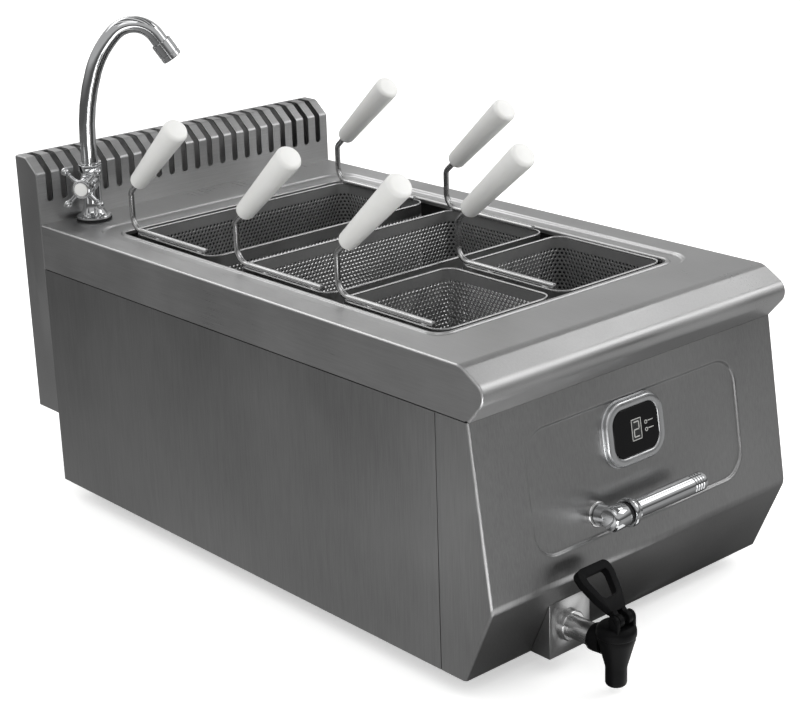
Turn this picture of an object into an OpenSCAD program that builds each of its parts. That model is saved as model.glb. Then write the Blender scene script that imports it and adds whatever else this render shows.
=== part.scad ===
// Counter-top pasta cooker: a stainless casing with a water well, four lift-out baskets,
// a swivelling faucet, a drain valve with its lever, and a front beverage tap.
// Millimetres. X points right seen from the front, -Y is the front, +Z is up.
// The origin lies on the floor, at the middle of the overall width and length.

/* [Body] */
// Overall width of the casing
body_w = 400; // [380:1:460]
// Height of the worktop above the base plate
top_h = 293.5; // [285:0.5:320]
// Depth of the worktop skirt
skirt_h = 48.5; // [44:0.5:58]
// Sheet thickness
sheet = 1.5; // [1:0.1:2]
// Seam between neighbouring sheets
seam = 1; // [0.5:0.1:1.5]
// Height of the control panel's crease above the base
crease_h = 78; // [72:0.5:84]
// Lean of the upper control panel from the vertical, in degrees
upper_lean = 8.8; // [6:0.1:11]
// Lean of the lower control panel from the vertical, in degrees
lower_lean = 24; // [20:0.1:27]
// Length of the control panel's side cheeks behind the crease
cheek_l = 65.5; // [58:0.5:75]

/* [Nose] */
// Distance from the crease back to the start of the front slope
slope_start = 34; // [30:0.5:40]
// Radius of the rounded nose
nose_r = 9; // [7:0.5:11]
// Distance from the crease back to the front of the nose
nose_back = 7.5; // [4:0.5:10]
// Drop from the worktop to the middle of the nose
nose_drop = 23.5; // [21:0.5:26]

/* [Feet] */
// Height of the feet
foot_h = 20; // [18:1:40]
// Diameter of a foot
foot_d = 36; // [28:1:44]
// Thickness of the rubber pad under a foot
pad_t = 4; // [3:0.5:6]
// Distance of the feet from the casing's sides
foot_inset_x = 65; // [50:1:80]
// Distance of the feet from the crease and from the flue
foot_inset_y = 105; // [90:1:120]

/* [Well] */
// Width of the well
well_w = 312; // [306:1:320]
// Length of the well
well_l = 502; // [496:1:510]
// Corner radius of the well
well_r = 24; // [18:1:30]
// Depth of the well below the worktop
well_depth = 153.5; // [148:0.5:160]
// Distance from the crease to the front of the well
well_front = 110; // [104:1:114]
// Strip of worktop between the well and the flue
rear_strip = 72.6; // [64:0.1:110]
// Width of the pressed ledge round the well
ledge_w = 18; // [15:0.5:19]
// Depth of the pressed ledge
ledge_depth = 2.5; // [1.5:0.1:3.5]

/* [Rack and heating] */
// Height of the basket rack above the well's floor
rack_h = 20; // [19:0.5:24]
// Diameter of the rack's holes
rack_hole_d = 16; // [10:0.5:20]
// Spacing of the rack's holes
rack_pitch = 36; // [30:1:40]
// Clearance of the rack to the well's walls
rack_gap = 3; // [2:0.5:6]
// Diameter of a heating element's tube
element_d = 8; // [6.5:0.1:9]
// Radius of the turn of a heating element
element_turn = 40; // [34:1:44]
// Length of a heating element from the back wall to its turn
element_l = 395; // [340:1:400]
// Diameter of a temperature probe
probe_d = 6; // [4:0.1:7]
// Length of a probe inside the well
probe_l = 110; // [80:1:160]

/* [Flue] */
// Depth of the flue from front to back
flue_d = 40.4; // [38:0.1:48]
// Rise of the flue above the worktop
flue_rise = 70.7; // [65:0.1:90]
// Height of the flue's lower end above the base
flue_low = 78; // [60:1:100]
// Depth of the chamfer at the flue's top
chamfer_d = 19.2; // [14:0.1:22]
// Height of the chamfer at the flue's top
chamfer_h = 15.3; // [10:0.1:20]
// Number of slots in the flue
slot_count = 22; // [14:1:22]
// Width of a slot
slot_w = 7.3; // [5:0.1:9]
// Spacing of the slots
slot_pitch = 17.6; // [14:0.1:17.8]
// Height of the slots' round ends above the worktop
slot_low = 27; // [22:0.5:34]
// Strip left behind the slots on the flue's top
slot_margin = 5; // [4:0.5:8]

/* [Baskets] */
// Width of a wide basket
wide_w = 290; // [280:1:296]
// Width of a small basket
small_w = 141; // [134:1:142]
// Gap between the two small baskets
small_gap = 11.5; // [10:0.5:14]
// Depth of a basket
basket_depth = 130; // [124:1:134]
// Corner radius of a basket
basket_r = 14; // [12:0.5:18]
// Sheet thickness of a basket
basket_t = 1.2; // [0.8:0.1:1.4]
// Gap between the front baskets and the well's front wall
front_gap = 3.5; // [3:0.5:6]
// Gap between the front and middle baskets
row_gap = 16.5; // [14:0.5:18]
// Working gap between the middle and rear baskets
work_gap = 41.5; // [34:0.5:44]
// Gap between the rear basket and the well's back wall
back_gap = 20.5; // [16:0.5:28]
// Diameter of the drain holes in a basket's floor
drain_hole_d = 6; // [4:0.5:7]
// Spacing of the drain holes in a basket's floor
drain_pitch = 15; // [12:0.5:20]

/* [Basket handles] */
// Diameter of the handle rod
rod_d = 6; // [5:0.1:6.4]
// Radius of the lower bend of the rod
rod_bend = 15; // [14:0.5:18]
// Radius of the upper bend of the rod
rod_knee = 8; // [7:0.5:12]
// Height of the rod's upper bend above the rim
rod_rise = 38; // [34:0.5:46]
// Distance of the rod's upright behind the basket's back wall
rod_back = 4; // [4:0.5:6]
// Distance of the rod's cut end from the basket's front
rod_end = 20; // [18:0.5:30]
// Angle of the grip above the horizontal
grip_angle = 41; // [35:1:48]
// Length of the grip
grip_l = 106; // [90:1:115]
// Diameter of the grip's lower end
grip_d1 = 19.5; // [15:0.5:20]
// Diameter of the grip's upper end
grip_d2 = 26; // [22:0.5:27]
// Distance of the grip from the upper bend, along the rod
grip_start = 13.6; // [11:0.1:18]
// Length of the rod inside the grip
grip_socket = 58; // [40:1:70]

/* [Faucet] */
// Distance of the faucet from the casing's left side
faucet_x = 55; // [45:0.5:65]
// Distance of the faucet in front of the flue
faucet_y = 20; // [19.5:0.5:26]
// Diameter of the faucet's base flange
flange_d = 37; // [34:0.5:38]
// Height of the faucet body above the worktop
faucet_h = 52; // [50:0.5:60]
// Diameter of the faucet body's neck
neck_d = 20; // [20:0.5:22]
// Diameter of the spout tube
spout_d = 17.5; // [16:0.5:18]
// Wall of the spout tube
spout_wall = 2; // [1.5:0.1:2.5]
// Direction of the spout from +X, in degrees
spout_dir = -35; // [-40:1:-20]
// Straight height of the spout above its nut
spout_straight = 23; // [20:1:60]
// Radius of the first bend
bend_1 = 228; // [200:1:260]
// Radius of the second bend
bend_2 = 101; // [80:1:120]
// Radius of the third bend
bend_3 = 28; // [24:0.5:34]
// Diameter of the aerator
aerator_d = 22; // [20:0.5:24]
// Length of the aerator
aerator_l = 21; // [16:0.5:24]
// Direction of the cross handle from -Y towards -X, in degrees
handle_dir = 50; // [40:1:60]
// Height of the cross handle's axis above the worktop
handle_h = 41; // [40:0.5:44]
// Distance of the cross handle's face from the faucet's axis
handle_out = 38; // [37:0.5:44]
// Reach of the cross handle's arms
arm_l = 25; // [20:0.5:26]

/* [Controller] */
// Offset of the controller from the panel's middle
control_x = -5; // [-12:0.5:12]
// Height of the controller above the crease, along the panel
control_s = 109.5; // [106:0.5:114]
// Width of the bezel
bezel_w = 77; // [70:1:84]
// Height of the bezel
bezel_h = 62; // [58:1:64]
// Corner radius of the bezel
bezel_r = 22; // [18:0.5:26]
// Width of the bezel's rim round the glass
bezel_rim = 9; // [7:0.5:11]
// Thickness of the bezel
bezel_t = 8; // [6:0.5:10]
// Depth of the controller housing behind the panel
housing_d = 52; // [40:1:54]

/* [Pressed field] */
// Width of the pressed field on the control panel
field_w = 284; // [270:1:300]
// Height of the pressed field
field_h = 120; // [114:1:126]
// Height of the field's lower edge above the crease
field_low = 24; // [20:0.5:28]
// Corner radius of the pressed field
field_r = 28; // [20:1:34]
// Depth of the pressed field
field_depth = 2.5; // [1.5:0.1:3]

/* [Drain] */
// Offset of the drain lever from the panel's middle
lever_x = -62; // [-64:0.5:-52]
// Height of the drain lever above the crease, along the panel
lever_s = 47; // [42:0.5:52]
// Standoff of the lever bar in front of the panel
lever_off = 22; // [20:0.5:26]
// Diameter of the lever bar
lever_d = 18; // [16:0.5:19]
// Length of the lever bar from its hub
lever_l = 116; // [90:1:118]
// Diameter of the lever shaft
shaft_d = 12; // [10:0.5:13]
// Distance of the drain valve behind the panel
valve_in = 122; // [118:1:126]
// Diameter of the valve's ball
ball_d = 26; // [24:0.5:28]
// Diameter of the water way
way_d = 15; // [12:0.5:16]
// Outer diameter of the drain pipe
pipe_d = 21; // [20:0.1:22]
// Height of the drain outlet above the base
outlet_h = 26; // [24:0.5:28]
// Offset of the drain outlet from the panel's middle
outlet_x = -94; // [-98:0.5:-90]
// Width of the outlet box
box_w = 52; // [48:0.5:56]
// Height of the outlet box
box_h = 54; // [50:0.5:58]
// Diameter of the outlet's locknut
locknut_d = 29; // [27:0.5:34]

/* [Tap] */
// Distance of the tap's axis in front of the crease
tap_out = 45; // [44:0.5:52]
// Radius of the tap's bonnet
bonnet_r = 18; // [17.6:0.1:20]
// Height of the bonnet
bonnet_h = 11; // [9:0.5:13]
// Drop of the tap's spout end below the base
tap_drop = 12; // [8:0.5:14]
// Diameter of the tap's spout end
nozzle_d = 19.4; // [16:0.1:21]
// Diameter of the tap's pivot pin
pin_d = 5; // [4:0.1:5.4]
// Lean of the tap's loop from the vertical, in degrees
loop_lean = 47; // [40:1:50]
// Width of the tap's loop
loop_w = 40; // [34:1:42]
// Reach of the tap's loop from its pin
loop_l = 50; // [46:0.5:54]
// Thickness of the tap's loop
loop_t = 8; // [6:0.5:9]

/* [Fits] */
// Running clearance on a radius
run_fit = 0.05; // [0.02:0.01:0.1]
// Seated clearance between neighbouring solids
seat_fit = 0.1; // [0.02:0.01:0.2]
// Clearance between parts that move past each other
move_gap = 0.3; // [0.3:0.05:0.5]

/* [Hidden] */
$fn = 64;
eps = 0.01;
over = 2;
// Straight lengths of tube lap into the bends and stand a hair proud of them
joint_lap = 0.3;
joint_step = 0.06;

// Frame of the casing
body_l = well_front + well_l + rear_strip + flue_d;
tap_reach = tap_out + bonnet_r;
overall_l = body_l + tap_reach;
y_crease = -overall_l / 2 + tap_reach;
y_back = overall_l / 2;
y_flue = y_back - flue_d;
x_side = body_w / 2;
z_base = foot_h;
z_top = z_base + top_h;
z_skirt = z_top - skirt_h;
z_panel_top = z_skirt - seam;
z_crease = z_base + crease_h;
y_seam = y_crease + cheek_l;
function y_upper(z) = y_crease + (z - z_crease) * tan(upper_lean);
function y_lower(z) = y_crease + (z_crease - z) * tan(lower_lean);
upper_in = sheet / cos(upper_lean);
lower_in = sheet / cos(lower_lean);
z_inner_crease = z_crease + (lower_in - upper_in) / (tan(upper_lean) + tan(lower_lean));
y_inner_crease = y_upper(z_inner_crease) + upper_in;

// Height by which a panel's tongue reaches up behind the skirt
tongue = 15;

// Nose of the worktop, tangent to the slope above and the undercut below
slope_top = [y_crease + slope_start, z_top];
undercut_end = [y_upper(z_panel_top) + sheet, z_skirt];
nose_mid = [y_crease + nose_back + nose_r, z_top - nose_drop];
function angle_to(p, c) = atan2(p[1] - c[1], p[0] - c[0]);
function tangent_turn(p, c, r) = acos(r / norm(p - c));
function arc(c, r, a1, a2, n) =
  [for (i = [0:n]) let (a = a1 + (a2 - a1) * i / n) c + r * [cos(a), sin(a)]];
nose_steps = 16;

// Well
y_well = y_crease + well_front + well_l / 2;
z_ledge = z_top - ledge_depth;
z_floor = z_top - well_depth;
z_tank_top = z_ledge - sheet;
z_rack = z_floor + rack_h;
y_well_back = y_well + well_l / 2;

// Baskets: three rows share the well's length
basket_l = (well_l - front_gap - row_gap - work_gap - back_gap) / 3;
rest_gap = 0.3;
z_basket = z_rack + sheet + rest_gap;
z_rim = z_basket + basket_depth;
small_x = (small_w + small_gap) / 2;
y_front_row = y_crease + well_front + front_gap + basket_l / 2;
y_middle_row = y_front_row + basket_l + row_gap;
y_rear_row = y_middle_row + basket_l + work_gap;
drain_margin = 14;

// Basket handles: the rod lies inside the wall, its middle a little above the rim
rod_z = z_rim + rod_d / 3;
rod_in = basket_t + rod_d / 2 + joint_step + eps;
bead_r = 1.2;
bead_l = 10;
grip_round = 4;
rod_top = z_rim + rod_rise;
knee_turn = 90 - grip_angle;

// Heating
element_z = z_floor + rack_h / 2 + sheet;
element_shift = 7;
element_x = well_w / 4 + element_shift;
element_ends = [for (s = [-1, 1], t = [-1, 1]) s * element_x + t * element_turn];
nut_af = 22;
nut_t = 8;
element_tail = 24;
probe_z = z_floor + rack_h / 2 + sheet;
probe_x = 20;
leg_l = 30;

// Faucet
fx = -x_side + faucet_x;
fy = y_flue - faucet_y;
seal_t = 2;
flange_t = 5;
shank_d = 20;
shank_l = 46;
z_nut = z_top + faucet_h;
spout_nut_h = 10;
spout_nut_af = 22;
stub_d = 14;
stub_l = 18;
z_bend = z_nut + spout_nut_h + spout_straight;
turn_1 = 19;
turn_2 = 26;
turn_3 = 102;
spout_tail = 8;
boss_d = 20;
boss_out = 15;
headwork_d = 17;
headwork_out = 26;
headwork_flange = 5;
spindle_d = 8;
spindle_in = stub_d / 2 + 2;
hub_d = 16;
cap_t = 3;
arm_d = 5.4;
arm_ball = 9;
tail_d = 15;
tail_out = 30;
thread_d = 20.96;
thread_l = 20;
tail_up = 45;
z_tail = z_base + tail_up;
tail_wall = 2.5;
back_nut_d = 32;
back_nut_t = 10;
inlet_d = 9;

// Cable gland, terminal block and screws
gland_r = 8;
gland_in = 10;
gland_hex = 26;
gland_hex_t = 8;
gland_l = 18;
gland_bore_r = 5;
gland_bore_l = 12;
block_x = 60;
block_back = 150;
block_w = 70;
block_d = 34;
block_h = 30;
block_ways = 5;
block_screw = 4;
screw_d = 8;
screw_t = 2.2;
screw_inset = 20;
screw_pitch = 70;
screw_count = 3;
screw_below = 16;

// Control panel features, in the panel's own frame: x, depth inwards, height along the panel
glass_t = 4;
lip = 3;
glass_sunk = 1.5;
housing_lip = 1;
housing_w = bezel_w - 2 * bezel_rim - 2 * housing_lip;
housing_h = bezel_h - 2 * bezel_rim - 2 * housing_lip;
housing_r = bezel_r - bezel_rim - housing_lip;
y_glass = field_depth - bezel_t + glass_sunk;
bush_d = 24;
bush_t = 5;
hub_len = 19;
lever_hub_d = 23;
hub_socket = 4;
seal_ring_d = 4;
neck_r = 7;
collar_d = 27;
collar_t = 6;
groove_count = 4;
groove_pitch = 3.4;
groove_w = 2.2;
groove_depth = 0.8;
groove_back = 18;

// Drain line
valve_r = 21;
valve_h = 40;
z_hub = z_crease + lever_s * cos(upper_lean);
y_hub = y_crease + lever_s * sin(upper_lean);
y_valve = y_hub + valve_in * cos(upper_lean);
z_valve = z_hub - valve_in * sin(upper_lean);
z_out = z_base + outlet_h;
y_box = y_lower(z_base + box_h) - seat_fit;
y_tap = y_crease - tap_out;
y_pipe_end = y_tap + bonnet_r + 3;
spigot_r = pipe_d / 2;
spigot_flange = 17;
spigot_flange_t = 4;
drain_run_min = 4;
drain_bend = (lever_x - outlet_x - drain_run_min) / 2;
locknut_t = 5;
valve_neck_wall = 4;
valve_neck_l = 8;
ball_socket = 5;

// Tap
z_nozzle = z_base - tap_drop;
z_seat = z_out + 4;
z_collar = z_out + 10;
z_bonnet = z_collar + bonnet_h;
pin_up = 7;
pin_front = 6.5;
z_pin = z_bonnet + pin_up;
y_pin = y_tap - pin_front;
ear_r = 6;
ear_t = 3.6;
ear_x = 8.3;
pin_proud = 0.5;
stem_d = 5;
cheek_x = stem_d / 2 + 0.6;
shank_r = 9.8;
chamber_r = 11.5;
bonnet_hollow = 5.5;
cup_t = 4;
socket_l = 5;
socket_wall = 2.5;
nozzle_l = 17;
nozzle_wall = 3.9;

steel = [0.66, 0.67, 0.68];
dark_steel = [0.5, 0.51, 0.52];
bright = [0.82, 0.83, 0.85];
black = [0.06, 0.06, 0.065];
white = [0.9, 0.9, 0.88];
copper = [0.72, 0.5, 0.32];

// Rectangle with round corners, centred
module round_rect(w, l, r) {
  square([w - 2 * r, l], center = true);
  square([w, l - 2 * r], center = true);
  for (x = [-1, 1], y = [-1, 1])
    translate([x * (w / 2 - r), y * (l / 2 - r)]) circle(r);
}

// Outline in Y and Z, drawn out along X and centred
module along_x(w) {
  rotate([90, 0, 90]) translate([0, 0, -w / 2]) linear_extrude(w) children();
}

// Cylinder along Y, from y1 to y2
module rod_y(x, y1, y2, z, r) {
  translate([x, min(y1, y2), z]) rotate([-90, 0, 0]) cylinder(r = r, h = abs(y2 - y1));
}

// Straight round bar with round ends between two points
module bar(p, q, r) {
  d = q - p;
  len = norm(d);
  translate(p) rotate([0, acos(d[2] / len), atan2(d[1], d[0])]) cylinder(r = r, h = len);
}

// Tube with a ball of its own radius at each corner
module elbowed(points, r, ball) {
  for (i = [0:len(points) - 2]) bar(points[i], points[i + 1], r);
  for (i = [1:len(points) - 2]) translate(points[i]) sphere(ball);
}

// Outline with its corners rounded: points in turn, one radius for each
function unit(v) = v / norm(v);
function fillet(p, q, n, r) =
  let (
    u = unit(p - q),
    v = unit(n - q),
    half = acos(u * v) / 2,
    c = q + unit(u + v) * r / sin(half),
    a1 = atan2((q + u * r / tan(half) - c)[1], (q + u * r / tan(half) - c)[0]),
    a2 = atan2((q + v * r / tan(half) - c)[1], (q + v * r / tan(half) - c)[0]),
    turn = a2 - a1 > 180 ? a2 - a1 - 360 : (a2 - a1 < -180 ? a2 - a1 + 360 : a2 - a1)
  ) arc(c, r, a1, a1 + turn, 8);
function rounded(pts, radii) = [for (i = [0:len(pts) - 1])
  each fillet(pts[(i + len(pts) - 1) % len(pts)], pts[i], pts[(i + 1) % len(pts)], radii[i])];

// Places its children on the control panel: x, depth inwards along +Y, height along +Z
module on_panel(x, s) {
  translate([x, y_crease, z_crease]) rotate([-upper_lean, 0, 0]) translate([0, 0, s]) children();
}

module panel_plate(w, h, r, y1, y2) {
  translate([0, y2, 0]) rotate([90, 0, 0]) linear_extrude(y2 - y1) round_rect(w, h, r);
}

module base_plate() color(steel) {
  y1 = y_lower(z_base) + lower_in + seam;
  y2 = y_flue - sheet - seat_fit;
  w = body_w - 2 * sheet - 2 * seat_fit;
  translate([-w / 2, y1, z_base]) cube([w, y2 - y1, sheet]);
}

module at_feet() {
  for (x = [-1, 1], y = [y_crease + foot_inset_y, y_flue - foot_inset_y + cheek_l / 2])
    translate([x * (x_side - foot_inset_x), y, 0]) children();
}

module feet() color(dark_steel) at_feet() translate([0, 0, pad_t]) {
  cylinder(d1 = foot_d, d2 = foot_d - 6, h = (foot_h - pad_t) / 2);
  cylinder(d = foot_d - 10, h = foot_h - pad_t);
}

module foot_pads() color(black) at_feet() cylinder(d1 = foot_d - 2, d2 = foot_d, h = pad_t);

// Upright tongue along Y inside a side wall, up behind the worktop's skirt
module side_tongue(y1, y2) {
  translate([-x_side + sheet, y1, z_panel_top - tongue]) cube([sheet, y2 - y1, seam + 2 * tongue]);
}

module side_panel() {
  y1 = y_seam + seam;
  translate([-x_side, y1, z_base]) cube([sheet, y_flue - y1, z_panel_top - z_base]);
  side_tongue(y1 + tongue, y_flue - tongue);
}

module left_side_panel() color(steel) side_panel();

module right_side_panel() color(steel) mirror([1, 0, 0]) side_panel();

module rear_panel() color(steel) {
  w = body_w - 2 * sheet - 2 * seat_fit;
  difference() {
    union() {
      translate([-w / 2, y_flue - sheet, z_base]) cube([w, sheet, z_panel_top - z_base]);
      translate([-w / 2 + tongue, y_flue - 2 * sheet, z_panel_top - tongue])
        cube([w - 2 * tongue, sheet, seam + 2 * tongue]);
    }
    rod_y(fx, y_flue - sheet - over, y_flue + over, z_tail, tail_d / 2 + seat_fit);
    rod_y(-fx, y_flue - sheet - over, y_flue + over, z_tail, gland_r + seat_fit);
  }
}

module control_panel() color(steel) {
  outer = [[y_lower(z_base), z_base], [y_crease, z_crease], [y_upper(z_panel_top), z_panel_top],
    [y_seam, z_panel_top], [y_seam, z_base]];
  inner = [[y_lower(z_base - over) + lower_in, z_base - over], [y_inner_crease, z_inner_crease],
    [y_upper(z_panel_top + over) + upper_in, z_panel_top + over], [y_seam + over, z_panel_top + over],
    [y_seam + over, z_base - over]];
  field_s = field_low + field_h / 2;
  difference() {
    union() {
      difference() {
        along_x(body_w) polygon(outer);
        along_x(body_w - 2 * sheet) polygon(inner);
      }
      for (m = [0, 1]) mirror([m, 0, 0]) side_tongue(y_upper(z_panel_top) + tongue, y_seam - seam);
      on_panel(0, field_s) panel_plate(field_w + 2 * sheet, field_h + 2 * sheet, field_r + sheet,
        sheet / 2, field_depth + sheet);
    }
    on_panel(0, field_s) panel_plate(field_w, field_h, field_r, -over, field_depth);
    on_panel(control_x, control_s)
      panel_plate(housing_w, housing_h, housing_r, -over, field_depth + sheet + over);
    on_panel(lever_x, lever_s) rod_y(0, -over, field_depth + sheet + over, 0, shaft_d / 2 + move_gap);
    rod_y(outlet_x, y_box - over, y_seam, z_out, pipe_d / 2 + 2 * move_gap);
  }
}

module worktop() color(steel) {
  a1 = angle_to(slope_top, nose_mid) + tangent_turn(slope_top, nose_mid, nose_r);
  a2 = 360 + angle_to(undercut_end, nose_mid) - tangent_turn(undercut_end, nose_mid, nose_r);
  in_r = nose_r - sheet;
  outer = concat([[y_flue, z_top], slope_top], arc(nose_mid, nose_r, a1, a2, nose_steps),
    [undercut_end, [y_flue, z_skirt]]);
  in_top = slope_top + [sheet * 0.3, -sheet];
  in_low = undercut_end + [sheet * 1.4, -over];
  inner = concat([[y_flue - sheet, z_top - sheet], in_top], arc(nose_mid, in_r, a1, a2, nose_steps),
    [in_low, [y_flue - sheet, z_skirt - over]]);
  difference() {
    union() {
      difference() {
        along_x(body_w) polygon(outer);
        along_x(body_w - 2 * sheet) polygon(inner);
      }
      translate([0, y_well, z_ledge - sheet]) linear_extrude(sheet + ledge_depth / 2)
        round_rect(well_w + 2 * (ledge_w + sheet), well_l + 2 * (ledge_w + sheet), well_r + ledge_w / 2);
    }
    translate([0, y_well, z_ledge]) linear_extrude(ledge_depth + over)
      round_rect(well_w + 2 * ledge_w, well_l + 2 * ledge_w, well_r + ledge_w / 2 - sheet);
    translate([0, y_well, z_ledge - sheet - over]) linear_extrude(sheet + 2 * over)
      round_rect(well_w, well_l, well_r);
    translate([fx, fy, z_top - sheet - over]) cylinder(d = shank_d + 2 * seat_fit, h = sheet + 2 * over);
  }
}

module well_tank() color(steel) difference() {
  translate([0, y_well, z_floor - sheet]) linear_extrude(z_tank_top - z_floor + sheet)
    round_rect(well_w + 2 * sheet, well_l + 2 * sheet, well_r + sheet);
  translate([0, y_well, z_floor]) linear_extrude(z_tank_top - z_floor + over)
    round_rect(well_w, well_l, well_r);
  translate([lever_x, y_valve, z_floor - sheet - over])
    cylinder(r = spigot_r + seat_fit, h = sheet + 2 * over);
  for (x = element_ends)
    rod_y(x, y_well_back - over, y_well_back + sheet + over, element_z, element_d / 2 + seat_fit);
  for (x = [-probe_x, probe_x])
    rod_y(x, y_well_back - over, y_well_back + sheet + over, probe_z, probe_d / 2 + seat_fit);
}

module flue_housing() color(steel) {
  z1 = z_base + flue_low;
  z2 = z_top + flue_rise;
  outer = [[y_flue, z1], [y_flue, z2 - chamfer_h], [y_flue + chamfer_d, z2], [y_back, z2], [y_back, z1]];
  inner = [[y_flue + sheet, z1 + sheet], [y_flue + sheet, z2 - chamfer_h - sheet / 2],
    [y_flue + chamfer_d + sheet / 2, z2 - sheet], [y_back - sheet, z2 - sheet],
    [y_back - sheet, z1 + sheet]];
  z_slot = z_top + slot_low;
  difference() {
    along_x(body_w) polygon(outer);
    along_x(body_w - 2 * sheet) polygon(inner);
    for (i = [0:slot_count - 1]) translate([(i - (slot_count - 1) / 2) * slot_pitch, 0, 0]) {
      translate([-slot_w / 2, y_flue - over, z_slot])
        cube([slot_w, flue_d - slot_margin + over, z2 - z_slot + over]);
      rod_y(0, y_flue - over, y_flue + sheet + over, z_slot, slot_w / 2);
    }
  }
}

module outlet_box() color(steel) translate([outlet_x, 0, 0]) {
  z2 = z_base + box_h;
  y2 = y_lower(z_base) - seat_fit;
  difference() {
    along_x(box_w) polygon([[y_box, z_base], [y_box, z2], [y2, z_base]]);
    along_x(box_w - 2 * sheet) polygon([[y_box + sheet, z_base + sheet], [y_box + sheet, z2 + over],
      [y2 + over, z2 + over], [y2 + over, z_base + sheet]]);
    rod_y(0, y_box - over, y_box + sheet + over, z_out, pipe_d / 2 + joint_step + seat_fit);
  }
}

module false_bottom() color(steel) {
  w = well_w - 2 * rack_gap;
  l = well_l - 2 * rack_gap;
  nx = floor((w - rack_pitch) / rack_pitch);
  ny = floor((l - rack_pitch) / rack_pitch);
  translate([0, y_well, z_rack]) linear_extrude(sheet) difference() {
    round_rect(w, l, well_r);
    for (i = [0:nx - 1], j = [0:ny - 1])
      translate([(i - (nx - 1) / 2) * rack_pitch, (j - (ny - 1) / 2) * rack_pitch])
        circle(d = rack_hole_d);
  }
  for (x = [-1, 1], y = [-1, 1])
    translate([x * (w / 2 - sheet) - sheet / 2, y_well + y * (l / 2 - well_r - leg_l) - leg_l / 2, z_floor])
      cube([sheet, leg_l, rack_h + sheet / 2]);
}

module heating_elements() color(dark_steel) for (s = [-1, 1]) {
  y_turn = y_well_back - element_l;
  for (t = [-1, 1])
    rod_y(s * element_x + t * element_turn, y_turn, y_well_back + sheet + element_tail, element_z,
      element_d / 2);
  translate([s * element_x, y_turn, element_z]) rotate([0, 0, 180]) rotate_extrude(angle = 180)
    translate([element_turn, 0]) circle(d = element_d);
}

module hex_nut_y(x, y, z, bore_r) {
  translate([x, y, z]) rotate([-90, 0, 0]) difference() {
    cylinder(d = nut_af / cos(30), h = nut_t, $fn = 6);
    translate([0, 0, -over]) cylinder(r = bore_r, h = nut_t + 2 * over, $fn = 64);
  }
}

module element_nuts() color(copper)
  for (x = element_ends) hex_nut_y(x, y_well_back + sheet, element_z, element_d / 2 + seat_fit / 2);

module probes() color(bright) for (x = [-probe_x, probe_x]) {
  rod_y(x, y_well_back - probe_l, y_well_back + sheet + element_tail, probe_z, probe_d / 2);
  rod_y(x, y_well_back + sheet, y_well_back + sheet + nut_t, probe_z, probe_d);
}

module drain_spigot() color(bright) translate([lever_x, y_valve, 0]) difference() {
  union() {
    z1 = z_valve + valve_h / 2;
    translate([0, 0, z1]) cylinder(r = spigot_r, h = z_floor - z1);
    translate([0, 0, z_floor - sheet - spigot_flange_t]) cylinder(r = spigot_flange, h = spigot_flange_t);
  }
  translate([0, 0, z_valve]) cylinder(d = way_d, h = z_floor - z_valve + over);
}

module valve_body() color([0.78, 0.66, 0.38]) translate([lever_x, y_valve, z_valve]) difference() {
  union() {
    cylinder(r = valve_r, h = valve_h, center = true);
    rotate([90 - upper_lean, 0, 0]) cylinder(r = shaft_d / 2 + valve_neck_wall, h = valve_r + valve_neck_l);
  }
  sphere(d = ball_d + 2 * run_fit);
  cylinder(d = way_d, h = valve_h + 2 * over, center = true);
  rotate([90 - upper_lean, 0, 0]) cylinder(r = shaft_d / 2 + run_fit, h = valve_r + valve_neck_l + over);
}

// Drain line: down from the valve, sideways, then out to the front; lengthened at both ends by e
module drain_run(r, e) {
  b = drain_bend;
  s = r + joint_step;
  translate([lever_x, y_valve, z_out + b - joint_lap])
    cylinder(r = s, h = z_valve - valve_h / 2 - z_out - b + joint_lap + e);
  translate([lever_x - b, y_valve, z_out + b]) rotate([90, 0, 0]) rotate([0, 0, -90])
    rotate_extrude(angle = 90) translate([b, 0]) circle(r);
  translate([outlet_x + b - joint_lap, y_valve, z_out]) rotate([0, 90, 0])
    cylinder(r = s, h = lever_x - outlet_x - 2 * b + 2 * joint_lap);
  translate([outlet_x + b, y_valve - b, z_out]) rotate([0, 0, 90])
    rotate_extrude(angle = 90) translate([b, 0]) circle(r);
  rod_y(outlet_x, y_pipe_end - e, y_valve - b + joint_lap, z_out, s);
}

module drain_pipe() color(bright) difference() {
  drain_run(pipe_d / 2, 0);
  drain_run(way_d / 2, over);
}

module outlet_locknut() color(bright) difference() {
  rod_y(outlet_x, y_box - locknut_t, y_box, z_out, locknut_d / 2);
  rod_y(outlet_x, y_box - locknut_t - over, y_box + over, z_out, pipe_d / 2 + joint_step + seat_fit / 2);
}

module controller_bezel() color(bright) on_panel(control_x, control_s) difference() {
  union() {
    panel_plate(bezel_w, bezel_h, bezel_r, field_depth - bezel_t / 3, field_depth);
    panel_plate(bezel_w - lip, bezel_h - lip, bezel_r - lip / 2, field_depth - bezel_t, field_depth);
  }
  panel_plate(bezel_w - 2 * bezel_rim, bezel_h - 2 * bezel_rim, bezel_r - bezel_rim,
    field_depth - bezel_t - over, field_depth + over);
}

module controller_glass() color(black) on_panel(control_x, control_s)
  panel_plate(bezel_w - 2 * bezel_rim - 2 * seat_fit, bezel_h - 2 * bezel_rim - 2 * seat_fit,
    bezel_r - bezel_rim - seat_fit, y_glass, y_glass + glass_t);

module controller_housing() color(black) on_panel(control_x, control_s)
  panel_plate(housing_w - 2 * seat_fit, housing_h - 2 * seat_fit, housing_r - seat_fit,
    y_glass + glass_t, housing_d);

module lever_bush() color(bright) on_panel(lever_x, lever_s) difference() {
  rod_y(0, field_depth - bush_t, field_depth, 0, bush_d / 2);
  rod_y(0, field_depth - bush_t - over, field_depth + over, 0, shaft_d / 2 + run_fit);
}

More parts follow.
